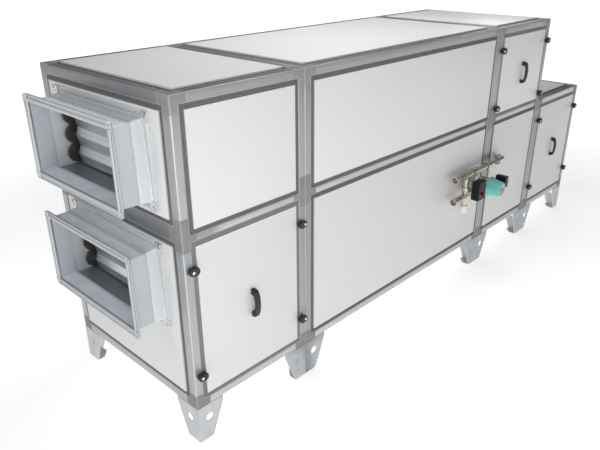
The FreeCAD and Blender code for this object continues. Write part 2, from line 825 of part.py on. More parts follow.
def actuator_dial():
    """Round dial with a pointer bar on the actuator's front."""
    x = valve_x - actuator_left + actuator_width / 2
    z = return_level + actuator_lift - dial_drop
    front = -actuator_stand_off - actuator_depth - dial_gap
    disc = cylinder(V(x, front, z), -Y_AXIS, dial_height / 2, dial_radius)
    bar = box(x - dial_bar_width / 2, x + dial_bar_width / 2, front - dial_height, front - dial_height / 2,
              z - dial_bar_length / 2, z + dial_bar_length / 2)
    return disc.fuse(bar).removeSplitter()


def pump_housing():
    """Pump volute with a union towards the valve and a stub at its back that enters the coil section."""
    centre = V(pump_x, -pipe_stand_off, pump_level)
    back = centre + V(0, pump_volute_back, 0)
    front = pump_flange_plane - pump_flange_thickness
    volute = cylinder(back, -Y_AXIS, front - pipe_stand_off + pump_volute_back, pump_volute_radius)
    stub = cylinder(back, Y_AXIS, pipe_stand_off - pump_volute_back - panel_proud, fitting_radius)
    reach = pump_union_reach
    sleeve = reach - pump_union_sleeve
    inlet = turned_rings(centre, -X_AXIS, [(0, reach, pipe_radius), (sleeve, reach, fitting_radius)])
    nut = hex_nut(centre, -X_AXIS, sleeve - pump_union_nut, sleeve)
    return fused([volute, stub, nut] + inlet)


def pump_motor():
    """Motor of the circulation pump: flange with bolt lobes, tapering body and end disc with its plug."""
    centre = V(pump_x, 0, pump_level)
    plane = pump_flange_plane
    back = centre + V(0, pump_flange_thickness - plane, 0)
    flange = [cylinder(back, -Y_AXIS, pump_flange_thickness, pump_flange_radius)]
    for bolt in range(pump_bolts):
        turn = 2 * math.pi * (bolt + 0.5) / pump_bolts
        lobe = back + V(math.cos(turn), 0, math.sin(turn)) * pump_lobe_circle
        flange.append(cylinder(lobe, -Y_AXIS, pump_flange_thickness, pump_lobe_radius))
    body = Part.makeCone(pump_motor_start_radius, pump_motor_end_radius, pump_motor_length,
                         centre + V(0, -plane, 0), -Y_AXIS)
    disc = cylinder(centre + V(0, -motor_front, 0), -Y_AXIS, pump_disc_thickness, pump_disc_radius)
    plug = cylinder(centre + V(0, -motor_front - pump_disc_thickness, 0), -Y_AXIS, pump_plug_height,
                    pump_plug_radius)
    return fused(flange + [body, disc, plug])


def pump_terminal_box():
    """Terminal box on the motor's side, cut to seat on its tapering body."""
    x = pump_x + pump_motor_end_radius
    y = -pump_flange_plane - terminal_set_back
    z = pump_level + terminal_lift
    body = box(x, x + terminal_width, y - terminal_depth, y,
               z - terminal_height / 2, z + terminal_height / 2)
    cone = Part.makeCone(pump_motor_start_radius + panel_gap, pump_motor_end_radius + panel_gap,
                         pump_motor_length, V(pump_x, -pump_flange_plane, pump_level), -Y_AXIS)
    return body.cut(cone)


def clamp_places():
    """Pivot of every turn clamp: door name, number, x, z and the side that its lobe points to."""
    places = []
    for name, cell in door_cells().items():
        _, tier, x0, x1, z0, z1 = cell
        tall = tier == "lower"
        spacing = clamp_spacing_tall if tall else clamp_spacing_short
        middle = (z0 + z1) / 2 + (clamp_lift_tall if tall else clamp_lift_short)
        number = 0
        for lift in (-spacing / 2, spacing / 2):
            for x, toward in ((x0 - bar_along + clamp_inset, 1), (x1 + bar_along - clamp_inset, -1)):
                number += 1
                places.append((name, number, x, middle + lift, toward))
    return places


def door_cells():
    """The three cells of the service side that are closed by lift-off doors."""
    cells = {(cell[0], cell[1]): cell for cell in side_cells()}
    return {"door_1": cells[(0, "lower")], "door_3": cells[(2, "upper")], "door_4": cells[(3, "lower")]}


def build_nodes():
    """All sub-parts by name, each a list of solids."""
    nodes = {}
    for index in range(len(section_lengths)):
        nodes["section_%d_frame" % (index + 1)] = section_frame(index)
    nodes["corner_pieces"] = corner_pieces()
    nodes["panel_seals"] = seals()
    nodes["legs"] = legs()
    doors = door_cells()
    nodes["front_panels"] = [side_panel(cell) for cell in side_cells() if cell not in doors.values()]
    nodes["back_panels"] = [side_panel(cell, back=True) for cell in side_cells()]
    for name, cell in doors.items():
        nodes[name] = [side_panel(cell)]
    nodes["door_handles"] = [bridge_handle((c[2] + c[3]) / 2, (c[4] + c[5]) / 2 - handle_drops[door])
                             for door, c in doors.items()]
    nodes["roof_panels"] = flat_panels("roof")
    nodes["floor_panels"] = flat_panels("floor")
    nodes["tier_decks"] = flat_panels("deck")
    ends = {cell[0]: cell for cell in end_cells()}
    nodes["far_end_panels"] = [end_panel(ends["far_upper"]), end_panel(ends["far_lower"])]
    for tier, level in (("upper", upper_duct_level), ("lower", lower_duct_level)):
        nodes[tier + "_end_panel"] = [duct_end_panel(ends["duct_" + tier], level)]
        nodes[tier + "_rear_flange"] = [duct_flange(level, -end_panel_proud, -1, rear_flange_rail,
                                                    rear_collar_reach)]
        nodes[tier + "_fabric_sleeve"] = [fabric_sleeve(level)]
        nodes[tier + "_front_flange"] = [duct_flange(level, -connector_reach, 1, front_flange_rail,
                                                     front_collar_reach)]
        nodes[tier + "_damper_casing"] = [damper_casing(level)]
        for number in range(blade_count):
            nodes["%s_blade_%d" % (tier, number + 1)] = [damper_blade(level, number)]
    for door, number, x, z, toward in clamp_places():
        nodes["%s_clamp_%d" % (door, number)] = [turn_clamp(x, z, toward)]
    for maker in (supply_line, return_line, mixing_valve, valve_cap, bypass_line, valve_actuator,
                  actuator_dial, pump_housing, pump_motor, pump_terminal_box):
        nodes[maker.__name__] = [maker()]
    return nodes


def write_parts():
    """One STEP file to a sub-part, moved so that the origin is under the middle of the unit's box."""
    os.makedirs("parts", exist_ok=True)
    for name, solids in build_nodes().items():
        shape = solids[0] if len(solids) == 1 else Part.makeCompound(solids)
        shape.translate(V(-origin_x, -origin_y, 0))
        shape.exportStep("parts/%s.step" % name)


write_parts()
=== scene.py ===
import json
import math

import bmesh
import bpy
import numpy as np
from mathutils import Matrix, Vector

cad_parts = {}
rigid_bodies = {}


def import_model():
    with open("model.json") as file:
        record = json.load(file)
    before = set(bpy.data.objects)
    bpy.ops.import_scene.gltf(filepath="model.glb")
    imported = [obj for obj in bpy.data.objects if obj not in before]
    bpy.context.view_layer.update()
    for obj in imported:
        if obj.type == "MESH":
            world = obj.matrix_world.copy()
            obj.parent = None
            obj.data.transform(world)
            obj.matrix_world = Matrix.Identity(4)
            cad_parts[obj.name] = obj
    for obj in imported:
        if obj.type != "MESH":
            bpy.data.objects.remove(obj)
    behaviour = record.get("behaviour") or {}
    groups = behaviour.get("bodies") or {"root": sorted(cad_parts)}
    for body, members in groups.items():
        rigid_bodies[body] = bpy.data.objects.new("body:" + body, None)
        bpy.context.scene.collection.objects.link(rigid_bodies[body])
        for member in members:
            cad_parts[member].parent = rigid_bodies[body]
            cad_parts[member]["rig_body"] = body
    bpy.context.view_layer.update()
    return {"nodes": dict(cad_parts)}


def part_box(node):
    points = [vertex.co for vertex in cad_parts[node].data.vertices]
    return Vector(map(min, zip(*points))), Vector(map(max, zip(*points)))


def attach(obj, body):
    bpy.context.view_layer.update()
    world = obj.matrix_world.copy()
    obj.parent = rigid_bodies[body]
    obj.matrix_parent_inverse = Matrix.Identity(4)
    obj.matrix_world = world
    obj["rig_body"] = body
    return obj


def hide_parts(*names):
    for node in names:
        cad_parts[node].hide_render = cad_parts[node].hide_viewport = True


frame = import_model()

# The drawing that the solids were made from has its origin at the floor under the duct end's service corner.
# Sizes below are its millimetres, and at() turns them into the frame's metres.
DRAWING_ORIGIN = np.array([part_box("section_1_frame")[0][0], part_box("section_1_frame")[0][1], 0.0])
UNIT_WIDTH = 850.0
PANEL_PROUD = 2.0
END_PROUD = 4.0
ROOF_PROUD = 5.0
HANDLE_REACH = 35.0
CLAMP_PIVOT = 14.5
SEAL_GAP = 0.3

# Flexible connectors and dampers
DUCT_WIDTH = 556.0
DUCT_HEIGHT = 273.0
DUCT_MIDDLE = UNIT_WIDTH / 2
DUCT_LEVELS = {"upper": 1128.5, "lower": 661.0}
CONNECTOR_REACH = 138.0
FRONT_RAIL = 29.0
REAR_RAIL = 38.0
COLLAR_REACH = 50.0
SLEEVE_LAP = 6.0
SEAM = 20.0
BLADE_PITCH = 76.0
BLADE_SET_BACK = 23.0
BLADE_GAP = 5.0
GEAR_TEETH = 30
GEAR_TIP = BLADE_PITCH / 2 + 0.7 * BLADE_PITCH / GEAR_TEETH
GEAR_ROOT = BLADE_PITCH / 2 - 1.15 * BLADE_PITCH / GEAR_TEETH

# Where the band over the fabric starts, in the drawing and in the frame's metres
BAND_START = -END_PROUD - COLLAR_REACH - 2.0
BAND_FRONT = DRAWING_ORIGIN[0] + BAND_START / 1000.0

# Where the aluminium's painted light and shade change, in the frame's metres: start and end of each change.
# Low bars get a painted floor reflection, bars behind the corner post a painted light falloff, the corner
# post the strongest painted highlights, level bars on the end face painted shade, and the roof rails stay in
# painted shade.
FLOOR_GLOW_HEIGHT = (0.22, 0.6)
ROOF_RAIL_HEIGHT = (1.26, 1.32)
BEHIND_CORNER_POST = (-1.46, -1.40)
CORNER_POST = (-1.56, -1.54)
END_FACE = (-1.5815, -1.5805)

# Share of a face's normal along z over which it passes from a wall to a top
LOOKS_UP = (0.6, 0.95)

# Water mixing group
LINE_Y = -52.0
PIPE_RADIUS = 16.5
SUPPLY_LEVEL = 647.0
RETURN_LEVEL = 524.0
PUMP_LEVEL = 541.0
LINE_START = 1685.0
VALVE_X = 1803.0
BYPASS_X = 1886.0
PUMP_X = 1998.0
COIL_X = 2196.0
BEND_RADIUS = 24.0

# The photograph's camera: its place in the drawing, how it looks and how its lens crops the picture
CAMERA_PLACE = (-1073.2546, -1583.0768, 1789.1139)
CAMERA_AZIMUTH = 46.0525
CAMERA_TILT = 24.4728
CAMERA_ROLL = -0.4008
FOCAL_PIXELS = 622.954
PICTURE_WIDTH = 600.0
SENSOR = 36.0

# Studio: floor glow, sky strength and soft boxes (name, place, target, width, height, watts)
FLOOR_GLOW = 0.56
SKY = 0.17
LAMPS = (("key", (-2.5, -2.5, 1.7), (-1.3, -0.3, 0.7), 1.4, 1.4, 28.5),
         ("overhead", (-0.25, 0.2, 2.9), (-0.25, 0.1, 1.3), 1.8, 1.2, 31.0),
         ("end_fill", (-3.9, 0.6, 2.6), (-1.6, 0.0, 0.9), 1.6, 1.6, 13.0),
         ("far_roof", (2.1, 0.3, 2.1), (1.55, 0.1, 0.9), 0.7, 0.7, 5.0))
FLOOR_HALF = 30.0

X = np.array([1.0, 0.0, 0.0])
Y = np.array([0.0, 1.0, 0.0])
Z = np.array([0.0, 0.0, 1.0])


def at(x, y, z):
    """Place in the frame, in metres, of a point of the drawing in millimetres."""
    return DRAWING_ORIGIN + np.array([x, y, z]) / 1000.0


def drawing(place):
    """Point of the drawing, in millimetres, of a place in the frame in metres."""
    return (np.asarray(place) - DRAWING_ORIGIN) * 1000


def node_box(node):
    """Lowest and highest corner of a CAD node in the drawing."""
    return [drawing(corner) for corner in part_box(node)]


class Shade:
    """A number on its way through a material's nodes. Sums written on it add Math nodes."""

    def __init__(self, finish, socket):
        self.finish = finish
        self.socket = socket

    def step(self, operation, *values):
        return self.finish.node("ShaderNodeMath", {"operation": operation}, values)

    def __add__(self, other):
        return self.step("ADD", self, other)

    def __sub__(self, other):
        return self.step("SUBTRACT", self, other)

    def __rsub__(self, other):
        return self.step("SUBTRACT", other, self)

    def __mul__(self, other):
        return self.step("MULTIPLY", self, other)

    def __truediv__(self, other):
        return self.step("DIVIDE", self, other)

    def __pow__(self, other):
        return self.step("POWER", self, other)

    __radd__ = __add__
    __rmul__ = __mul__

    def sine(self):
        return self.step("SINE", self)

    def size(self):
        return self.step("ABSOLUTE", self)

    def between(self, low, high):
        """0 below low, 1 above high and a smooth rise from one to the other."""
        settings = {"interpolation_type": "SMOOTHSTEP"}
        return self.finish.node("ShaderNodeMapRange", settings, (self, low, high, 0.0, 1.0))


class Finish:
    """A material under construction: a Principled shader with the nodes that vary it."""

    def __init__(self, name, colour, roughness, metallic=0.0, **fixed):
        self.material = bpy.data.materials.new(name)
        self.material.use_nodes = True
        self.tree = self.material.node_tree
        self.shader = self.tree.nodes["Principled BSDF"]
        self.colour = colour
        self.shader.inputs["Base Color"].default_value = (*colour, 1.0)
        self.shader.inputs["Roughness"].default_value = roughness
        self.shader.inputs["Metallic"].default_value = metallic
        for socket, value in fixed.items():
            self.shader.inputs[socket.replace("_", " ")].default_value = value

    def feed(self, socket, value):
        """Sets a node's input to a number, a vector or another node's output."""
        if isinstance(value, Shade):
            self.tree.links.new(value.socket, socket)
        else:
            socket.default_value = value

    def node(self, kind, settings=None, values=(), output=0):
        """Adds a node: its settings first, then its inputs in order or by name."""
        made = self.tree.nodes.new(kind)
        for name, value in (settings or {}).items():
            setattr(made, name, value)
        pairs = values.items() if isinstance(values, dict) else enumerate(values)
        for key, value in pairs:
            self.feed(made.inputs[key], value)
        return Shade(self, made.outputs[output])

    def place(self, scale=(1.0, 1.0, 1.0), turn=(0.0, 0.0, 0.0)):
        """Object coordinates, stretched and turned."""
        coordinates = self.node("ShaderNodeTexCoord", output=3)
        values = {"Vector": coordinates, "Scale": scale, "Rotation": turn}
        return self.node("ShaderNodeMapping", values=values)

    def along_surface(self, scale=(1.0, 1.0, 1.0)):
        """The piece's own UV map: metres along its grain, metres across it."""
        coordinates = self.node("ShaderNodeUVMap", {"uv_map": "grain"})
        return self.node("ShaderNodeMapping", values={"Vector": coordinates, "Scale": scale})

    def lie(self):
        """How upright the piece stands (0 to 1), how far the face looks up (-1 to 1, and 3 more where it
        slants), and whether it slants (1) or is plain (0)."""
        way = self.node("ShaderNodeUVMap", {"uv_map": "way"})
        upright, facing = self.axis(way, 0), self.axis(way, 1)
        return upright.between(0.35, 0.65), facing, facing.between(1.4, 1.6)

    def noise(self, place, scale, detail=3.0, roughness=0.55):
        values = {"Vector": place, "Scale": scale, "Detail": detail, "Roughness": roughness}
        return self.node("ShaderNodeTexNoise", values=values)

    def cells(self, place, scale):
        """Random value of each cell of a Voronoi pattern."""
        made = self.node("ShaderNodeTexVoronoi", values={"Vector": place, "Scale": scale}, output=1)
        return self.node("ShaderNodeSeparateColor", values=(made,))

    def axis(self, place, number):
        return self.node("ShaderNodeSeparateXYZ", values=(place,), output=number)

    def blend(self, amount, first, second):
        """Mixes two colours, or colour sockets, by an amount from 0 to 1."""
        made = self.tree.nodes.new("ShaderNodeMix")
        made.data_type = "RGBA"
        for key, value in ((0, amount), (6, first), (7, second)):
            if isinstance(value, tuple):
                value = (*value, 1.0)
            self.feed(made.inputs[key], value)
        return Shade(self, made.outputs[2])

    def paint(self, amount, other, tone=None):
        """Base colour that goes from a tone, or else the finish's own colour, to another."""
        self.feed(self.shader.inputs["Base Color"], self.blend(amount, tone or self.colour, other))

    def roughen(self, value):
        self.feed(self.shader.inputs["Roughness"], value)

    def emboss(self, height, depth, strength=1.0):
        """Bump from a height between 0 and 1 that stands for depth in metres."""
        values = {"Strength": strength, "Distance": depth, "Height": height}
        self.feed(self.shader.inputs["Normal"], self.node("ShaderNodeBump", values=values))


def powder_coat():
    """White powder coat: fine orange peel and a barely uneven tone."""
    coat = Finish("powder_coat", (0.80, 0.80, 0.795), 0.42)
    place = coat.place()
    tone = coat.noise(place, 2.3, detail=4.0)
    peel = coat.noise(place, 420.0, detail=2.0)
    coat.paint(tone * 0.5, (0.765, 0.77, 0.775))
    coat.roughen(0.36 + tone * 0.14)
    coat.emboss(peel, 0.00006, strength=0.6)
    return coat.material


def anodised_aluminium():
    """Satin anodised extrusion: streaks along each bar, with painted light and shade: level bars, faces that
    look up and uprights behind the corner post painted darker, low level bars painted pale as a painted
    floor reflection, and painted highlights on the eased edges.
    """
    metal = Finish("anodised_aluminium", (0.50, 0.515, 0.53), 0.42, metallic=0.45)
    streaks = metal.noise(metal.along_surface((1.2, 380.0, 1.0)), 1.0, detail=3.0)
    place = metal.place()
    grain = metal.noise(place, 900.0, detail=2.0)
    drift = metal.noise(place, 3.0, detail=2.0)
    upright, facing, rim = metal.lie()
    # Mask of the bars low down, near the glowing floor, for the painted floor reflection.
    low = 1 - metal.axis(place, 2).between(*FLOOR_GLOW_HEIGHT)
    level = (1 - upright) * (1 - low * 0.75)
    # Painted light falloff: uprights behind the corner post are painted darker.
    inner = metal.axis(place, 0).between(*BEHIND_CORNER_POST)
    tone = metal.blend(inner * 0.8, metal.colour, (0.385, 0.395, 0.405))
    # Painted shade on level bars: dark at the corner post and on the roof rails, paler behind the post.
    high = metal.axis(place, 2).between(*ROOF_RAIL_HEIGHT)
    level_bar_shade = metal.blend(inner * (1 - high), (0.37, 0.383, 0.395), (0.60, 0.615, 0.63))
    tone = metal.blend(level, tone, level_bar_shade)
    # Painted floor reflection: level bars low down are painted pale.
    tone = metal.blend(low * (1 - upright), tone, (0.63, 0.645, 0.66))
    # Painted shade: level bars on the end face are painted dark.
    end_face_shade_mask = 1 - metal.axis(place, 0).between(*END_FACE)
    tone = metal.blend(level * end_face_shade_mask * 0.8, tone, (0.20, 0.21, 0.22))
    # Painted shade: faces that look up are painted dark.
    tone = metal.blend(facing.between(*LOOKS_UP) * (1 - rim), tone, (0.17, 0.175, 0.18))
    # Painted highlight on the eased edges, strongest on the uprights of the corner post.
    near = 1 - metal.axis(place, 0).between(*CORNER_POST)
    tone = metal.blend(rim * (upright * near * 0.5 + 0.3), tone, (0.80, 0.81, 0.82))
    worn = (streaks * 0.6 + drift * 0.5).between(0.3, 0.9)
    metal.paint(worn * 0.22, (0.12, 0.125, 0.13), tone)
    metal.roughen(0.34 + streaks * 0.12 + drift * 0.08)
    metal.emboss(streaks * 0.7 + grain * 0.3, 0.00005, strength=0.5)
    return metal.material


def moulded_grey():
    """Grey moulded corner pieces: spark-eroded grain, slight flow marks, faces that look up painted darker
    as painted shade, and eased edges painted pale as a painted highlight.
    """
    plastic = Finish("moulded_grey", (0.285, 0.277, 0.268), 0.55)
    place = plastic.place()
    grain = plastic.noise(place, 800.0, detail=2.0)
    flow = plastic.noise(place, 14.0, detail=3.0)
    facing, rim = plastic.lie()[1:]
    tone = plastic.blend(flow.between(0.35, 0.8), plastic.colour, (0.25, 0.243, 0.235))
    # Painted shade: faces that look up are painted darker.
    tone = plastic.blend(facing.between(*LOOKS_UP) * (1 - rim), tone, (0.20, 0.195, 0.19))
    # Painted highlight: the eased edges are painted pale.
    plastic.paint(rim * 0.5, (0.48, 0.47, 0.46), tone)
    plastic.roughen(0.48 + flow * 0.14)
    plastic.emboss(grain, 0.00012, strength=0.5)
    return plastic.material


def seal_rubber(name, colour, groove, groove_shading=0.45):
    """Sealing strip: chalky rubber with painted shade in its grooves, which lie at set distances across the
    strip.
    """
    rubber = Finish(name, colour, 0.72)
    place = rubber.place()
    bloom = rubber.noise(place, 9.0, detail=5.0)
    grain = rubber.noise(place, 1200.0, detail=1.0)
    out = rubber.axis(rubber.along_surface((1000.0, 1000.0, 1.0)), 1)
    # Painted shade in the strip's three grooves: the inner and middle ones by the given strength, the outer
    # one fully.
    inner = 1 - out.between(1.6, 2.8)
    middle = 1 - (out - 10.2).size().between(0.5, 1.1)
    outer = out.between(16.8, 17.6)
    rubber.paint((inner * groove_shading + middle * groove_shading + outer).between(0.0, 1.0), groove)
    rubber.roughen(0.62 + bloom * 0.2)
    rubber.emboss(grain, 0.00008, strength=0.4)
    return rubber.material


def zinc_sheet(name="zinc_sheet", colour=(0.66, 0.675, 0.69), other=(0.58, 0.595, 0.61),
               level=(0.50, 0.52, 0.54), upper=None, fold=None):
    """Galvanised sheet: faint spangle of zinc crystals over a satin metal.

    level is the painted tone of strips that lie level and upper the painted tone of faces that look up; both
    stand for light and shade there. fold is the place along x of a painted shade across the top at the
    band's front edge. Eased edges get a painted highlight."""
    zinc = Finish(name, colour, 0.42, metallic=0.45)
    place = zinc.place()
    wobble = zinc.noise(place, 30.0, detail=2.0)
    spangle = zinc.cells(place, 95.0)
    haze = zinc.noise(place, 6.0, detail=4.0)
    upright, facing, rim = zinc.lie()
    tone = zinc.blend(spangle * 0.45 + haze * 0.4, zinc.colour, other)
    # Painted light and shade: level strips, and faces that look up where a tone is given for them, are
    # painted their own tones.
    tone = zinc.blend(1 - upright, tone, level)
    if upper:
        tone = zinc.blend(facing.between(*LOOKS_UP), tone, upper)
    if fold:
        # Painted shade across the top, near the band's front edge.
        near = 1 - (zinc.axis(place, 0) - fold).size().between(0.0, 0.016)
        tone = zinc.blend(near * facing.between(0.2, 0.9) * 0.45, tone, (0.25, 0.27, 0.29))
    # Painted highlight on the eased edges.
    zinc.paint(rim * 0.55, (0.82, 0.84, 0.85), tone)
    zinc.roughen(0.34 + spangle * 0.1 + haze * 0.1)
    zinc.emboss(wobble, 0.0003, strength=0.25)
    return zinc.material


def coated_fabric():
    """Coated duct fabric: plain weave that shows through its coating, with soft creases, its top painted
    paler as painted light and a painted shade along the band's front edge.
    """
    cloth = Finish("coated_fabric", (0.57, 0.60, 0.65), 0.62)
    across = cloth.along_surface()
    warp = (cloth.axis(across, 0) * 2600.0).sine()
    weft = (cloth.axis(across, 1) * 2600.0).sine()
    weave = warp * weft * 0.5 + 0.5
    crease = cloth.noise(cloth.place(), 9.0, detail=5.0)
    facing, rim = cloth.lie()[1:]
    # Painted light: faces that look up are painted paler.
    above = (facing - 3.0 * rim).between(0.2, 0.9)
    tone = cloth.blend(above, cloth.colour, (0.88, 0.905, 0.98))
    # Painted shade along the band's front edge, stronger on the top.
    near = 1 - (cloth.axis(cloth.place(), 0) - BAND_FRONT).size().between(0.0, 0.014)
    tone = cloth.blend(near * (above * 0.35 + 0.1), tone, (0.25, 0.27, 0.30))
    cloth.paint(crease.between(0.3, 0.8) * 0.25, (0.42, 0.44, 0.48), tone)
    cloth.roughen(0.55 + crease * 0.15)
    cloth.emboss(weave * 0.35 + crease * 0.65, 0.0006, strength=0.5)
    return cloth.material


def brushed_blade():
    """Mill-finish aluminium of the damper blades, drawn along their length, its lower facets painted darker
    as painted shade and its end by the gear painted dark as the gear's painted shadow.
    """
    metal = Finish("brushed_blade", (0.86, 0.88, 0.90), 0.3, metallic=0.6)
    streaks = metal.noise(metal.place((260.0, 1.5, 260.0)), 1.0, detail=3.0)
    facing = metal.lie()[1]
    # Painted shade: the lower facets, which look down, are painted darker.
    tone = metal.blend(facing.between(2.9, 3.1), (0.52, 0.54, 0.56), metal.colour)
    # Painted shadow of the gear: darker towards the blade's gear end.
    tone = metal.blend(metal.axis(metal.place(), 1).between(0.17, 0.33) * 0.6, tone, (0.10, 0.105, 0.11))
    metal.paint(streaks.between(0.35, 0.8) * 0.3, (0.3, 0.31, 0.33), tone)
    metal.roughen(0.24 + streaks * 0.14)
    metal.emboss(streaks, 0.00006, strength=0.5)
    return metal.material


def black_plastic(name="black_plastic", colour=(0.032, 0.032, 0.033), grain_size=900.0):
    """Black moulded plastic with an eroded grain and worn, greyer patches."""
    plastic = Finish(name, colour, 0.42, Specular_IOR_Level=0.3)
    place = plastic.place()
    grain = plastic.noise(place, grain_size, detail=2.0)
    wear = plastic.noise(place, 18.0, detail=4.0)
    plastic.paint(wear.between(0.4, 0.85), tuple(1.7 * c for c in colour))
    plastic.roughen(0.36 + wear * 0.16)
    plastic.emboss(grain, 0.00015, strength=0.5)
    return plastic.material


def plated_brass():
    """Nickel-plated brass fittings: warm, fairly bright, with handling marks."""
    metal = Finish("plated_brass", (0.66, 0.62, 0.53), 0.24, metallic=0.82)
    place = metal.place()
    marks = metal.noise(place, 55.0, detail=5.0)
    cast = metal.noise(place, 700.0, detail=2.0)
    metal.paint(marks.between(0.35, 0.8), (0.52, 0.48, 0.40))
    metal.roughen(0.2 + marks * 0.14)
    metal.emboss(cast * 0.5 + marks * 0.5, 0.0001, strength=0.25)
    return metal.material


def pump_enamel():
    """Blue-green enamel of the pump's motor over its cast surface."""
    enamel = Finish("pump_enamel", (0.19, 0.66, 0.62), 0.42)
    place = enamel.place()
    cast = enamel.noise(place, 260.0, detail=3.0)
    tone = enamel.noise(place, 22.0, detail=3.0)
    enamel.paint(tone.between(0.3, 0.8), (0.165, 0.60, 0.56))
    enamel.roughen(0.36 + tone * 0.12)
    enamel.emboss(cast, 0.00025, strength=0.4)
    return enamel.material


def smooth_plastic(name, colour, roughness=0.4):
    """Smooth moulded plastic with a faint unevenness."""
    plastic = Finish(name, colour, roughness)
    flow = plastic.noise(plastic.place(), 60.0, detail=3.0)
    plastic.paint(flow * 0.4, tuple(0.9 * c for c in colour))
    plastic.roughen(roughness - 0.06 + flow * 0.12)
    plastic.emboss(flow, 0.0001, strength=0.3)
    return plastic.material


def bright_steel():
    """Zinc-plated steel of screws and bolts."""
    metal = Finish("bright_steel", (0.70, 0.71, 0.72), 0.28, metallic=1.0)
    marks = metal.noise(metal.place(), 240.0, detail=4.0)
    metal.paint(marks.between(0.4, 0.8), (0.55, 0.56, 0.57))
    metal.roughen(0.2 + marks * 0.16)
    return metal.material


def read(items, what, width=1, kind=float):
    """One property of every vertex, edge, face or corner of a mesh, as an array."""
    values = np.empty(len(items) * width, kind)
    items.foreach_get(what, values)
    return values.reshape(-1, width) if width > 1 else values


def islands(mesh):
    """Number of the loose part that each vertex is in: the lowest number spreads along the edges."""
    a, b = read(mesh.edges, "vertices", 2, np.int64).T
    label = np.arange(len(mesh.vertices))
    while True:
        low = np.minimum(label[a], label[b])
        spread = label.copy()
        np.minimum.at(spread, a, low)
        np.minimum.at(spread, b, low)
        spread = spread[spread]
        if (spread == label).all():
            return label
        label = spread


def coordinates(mesh):
    return read(mesh.vertices, "co", 3)


def merged_copy(node):
    """A CAD node's mesh with its loose triangles joined into flat faces."""
    mesh = frame["nodes"][node].data.copy()
    shape = bmesh.new()
    shape.from_mesh(mesh)
    bmesh.ops.remove_doubles(shape, verts=shape.verts, dist=0.000005)
    bmesh.ops.dissolve_limit(shape, angle_limit=math.radians(0.6), verts=shape.verts, edges=shape.edges)
    shape.to_mesh(mesh)
    shape.free()
    return mesh


def solids(node):
    """Lowest and highest corner of each separate solid of a CAD node."""
    mesh = merged_copy(node)
    co, label = coordinates(mesh), islands(mesh)
    return [(co[label == part].min(0), co[label == part].max(0)) for part in np.unique(label)]


def lay_uv(mesh, uv):
    """The "grain" UV map, from one pair for each vertex."""
    layer = mesh.uv_layers.new(name="grain")
    layer.data.foreach_set("uv", uv[read(mesh.loops, "vertex_index", kind=np.int64)].ravel())


def lay_grain(mesh):
    """UV map of metres along and across the longest way of each loose part."""
    co, label = coordinates(mesh), islands(mesh)
    uv = np.zeros((len(co), 2))
    for part in np.unique(label):
        inside = label == part
        spot = co[inside]
        along = int(np.argmax(np.ptp(spot, axis=0)))
        rest = [axis for axis in range(3) if axis != along]
        uv[inside, 0] = spot[:, along]
        uv[inside, 1] = spot[:, rest[0]] + spot[:, rest[1]]
    lay_uv(mesh, uv)


def note_way(mesh):
    """UV map that tells a finish how a face lies.

    Across it is z / (z + the larger of x and y) of the loose part's size, near 1 for an upright bar and near
    0 for a level one. Up it is the face's normal along z, plus 3 for a slanting face or eased edge."""
    co, label = coordinates(mesh), islands(mesh)
    upright = np.zeros(len(co))
    for part in np.unique(label):
        inside = label == part
        size = np.ptp(co[inside], axis=0)
        upright[inside] = size[2] / (size[2] + size[:2].max())
    normal = read(mesh.polygons, "normal", 3)
    corners = read(mesh.polygons, "loop_total", kind=np.int64)
    facing = normal[:, 2] + np.where(np.abs(normal).max(1) < 0.97, 3.0, 0.0)
    spots = read(mesh.loops, "vertex_index", kind=np.int64)
    layer = mesh.uv_layers.new(name="way")
    layer.data.foreach_set("uv", np.stack([upright[spots], np.repeat(facing, corners)], -1).ravel())


def show(name, mesh, material, slot, body="unit", replaces=(), smooth=35.0):
    """Puts a finished mesh into the scene: its finish, its sharp edges, the body that it rides on."""
    note_way(mesh)
    mesh.materials.clear()
    mesh.materials.append(material)
    mesh.shade_smooth()
    mesh.set_sharp_from_angle(angle=math.radians(smooth))
    piece = bpy.data.objects.new(name, mesh)
    bpy.context.scene.collection.objects.link(piece)
    if replaces:
        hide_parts(*replaces)
    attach(piece, body)
    return piece


def eased(node, width, material, slot, segments=2, angle=32.0):
    """The CAD node's own form with its edges eased by a small rounding, standing for the node.

    Points are clipped to the node's own box, because the rounding throws a few out where solids touch."""
    plain = merged_copy(node)
    corners = coordinates(plain)
    work = bpy.data.objects.new("work", plain)
    bpy.context.scene.collection.objects.link(work)
    rounding = work.modifiers.new("edges", "BEVEL")
    rounding.width = width
    rounding.segments = segments
    rounding.limit_method = "ANGLE"
    rounding.angle_limit = math.radians(angle)
    rounding.use_clamp_overlap = True
    finished = bpy.data.meshes.new_from_object(work.evaluated_get(bpy.context.evaluated_depsgraph_get()))
    bpy.data.objects.remove(work)
    inside = np.clip(coordinates(finished), corners.min(0), corners.max(0))
    finished.vertices.foreach_set("co", inside.ravel())
    lay_grain(finished)
    return show(node + "_eased", finished, material, slot, frame["nodes"][node]["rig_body"], (node,))


def grid_faces(rows, columns, close_rows=False, close_columns=False):
    """Quads of a grid of points: point (i, j) joins (i, j + 1), (i + 1, j + 1) and (i + 1, j)."""
    i = np.arange(rows if close_rows else rows - 1)[:, None]
    j = np.arange(columns if close_columns else columns - 1)[None, :]
    right = (j + 1) % columns
    down = (i + 1) % rows
    corners = [i * columns + j, i * columns + right, down * columns + right, down * columns + j]
    return np.stack(np.broadcast_arrays(*corners), -1).reshape(-1, 4)


def block(points, faces, across=None):
    """One shell: its points, its faces and, where a pattern follows it, its grain."""
    points = np.asarray(points, float).reshape(-1, 3)
    return points, [list(face) for group in faces for face in np.asarray(group).tolist()], across


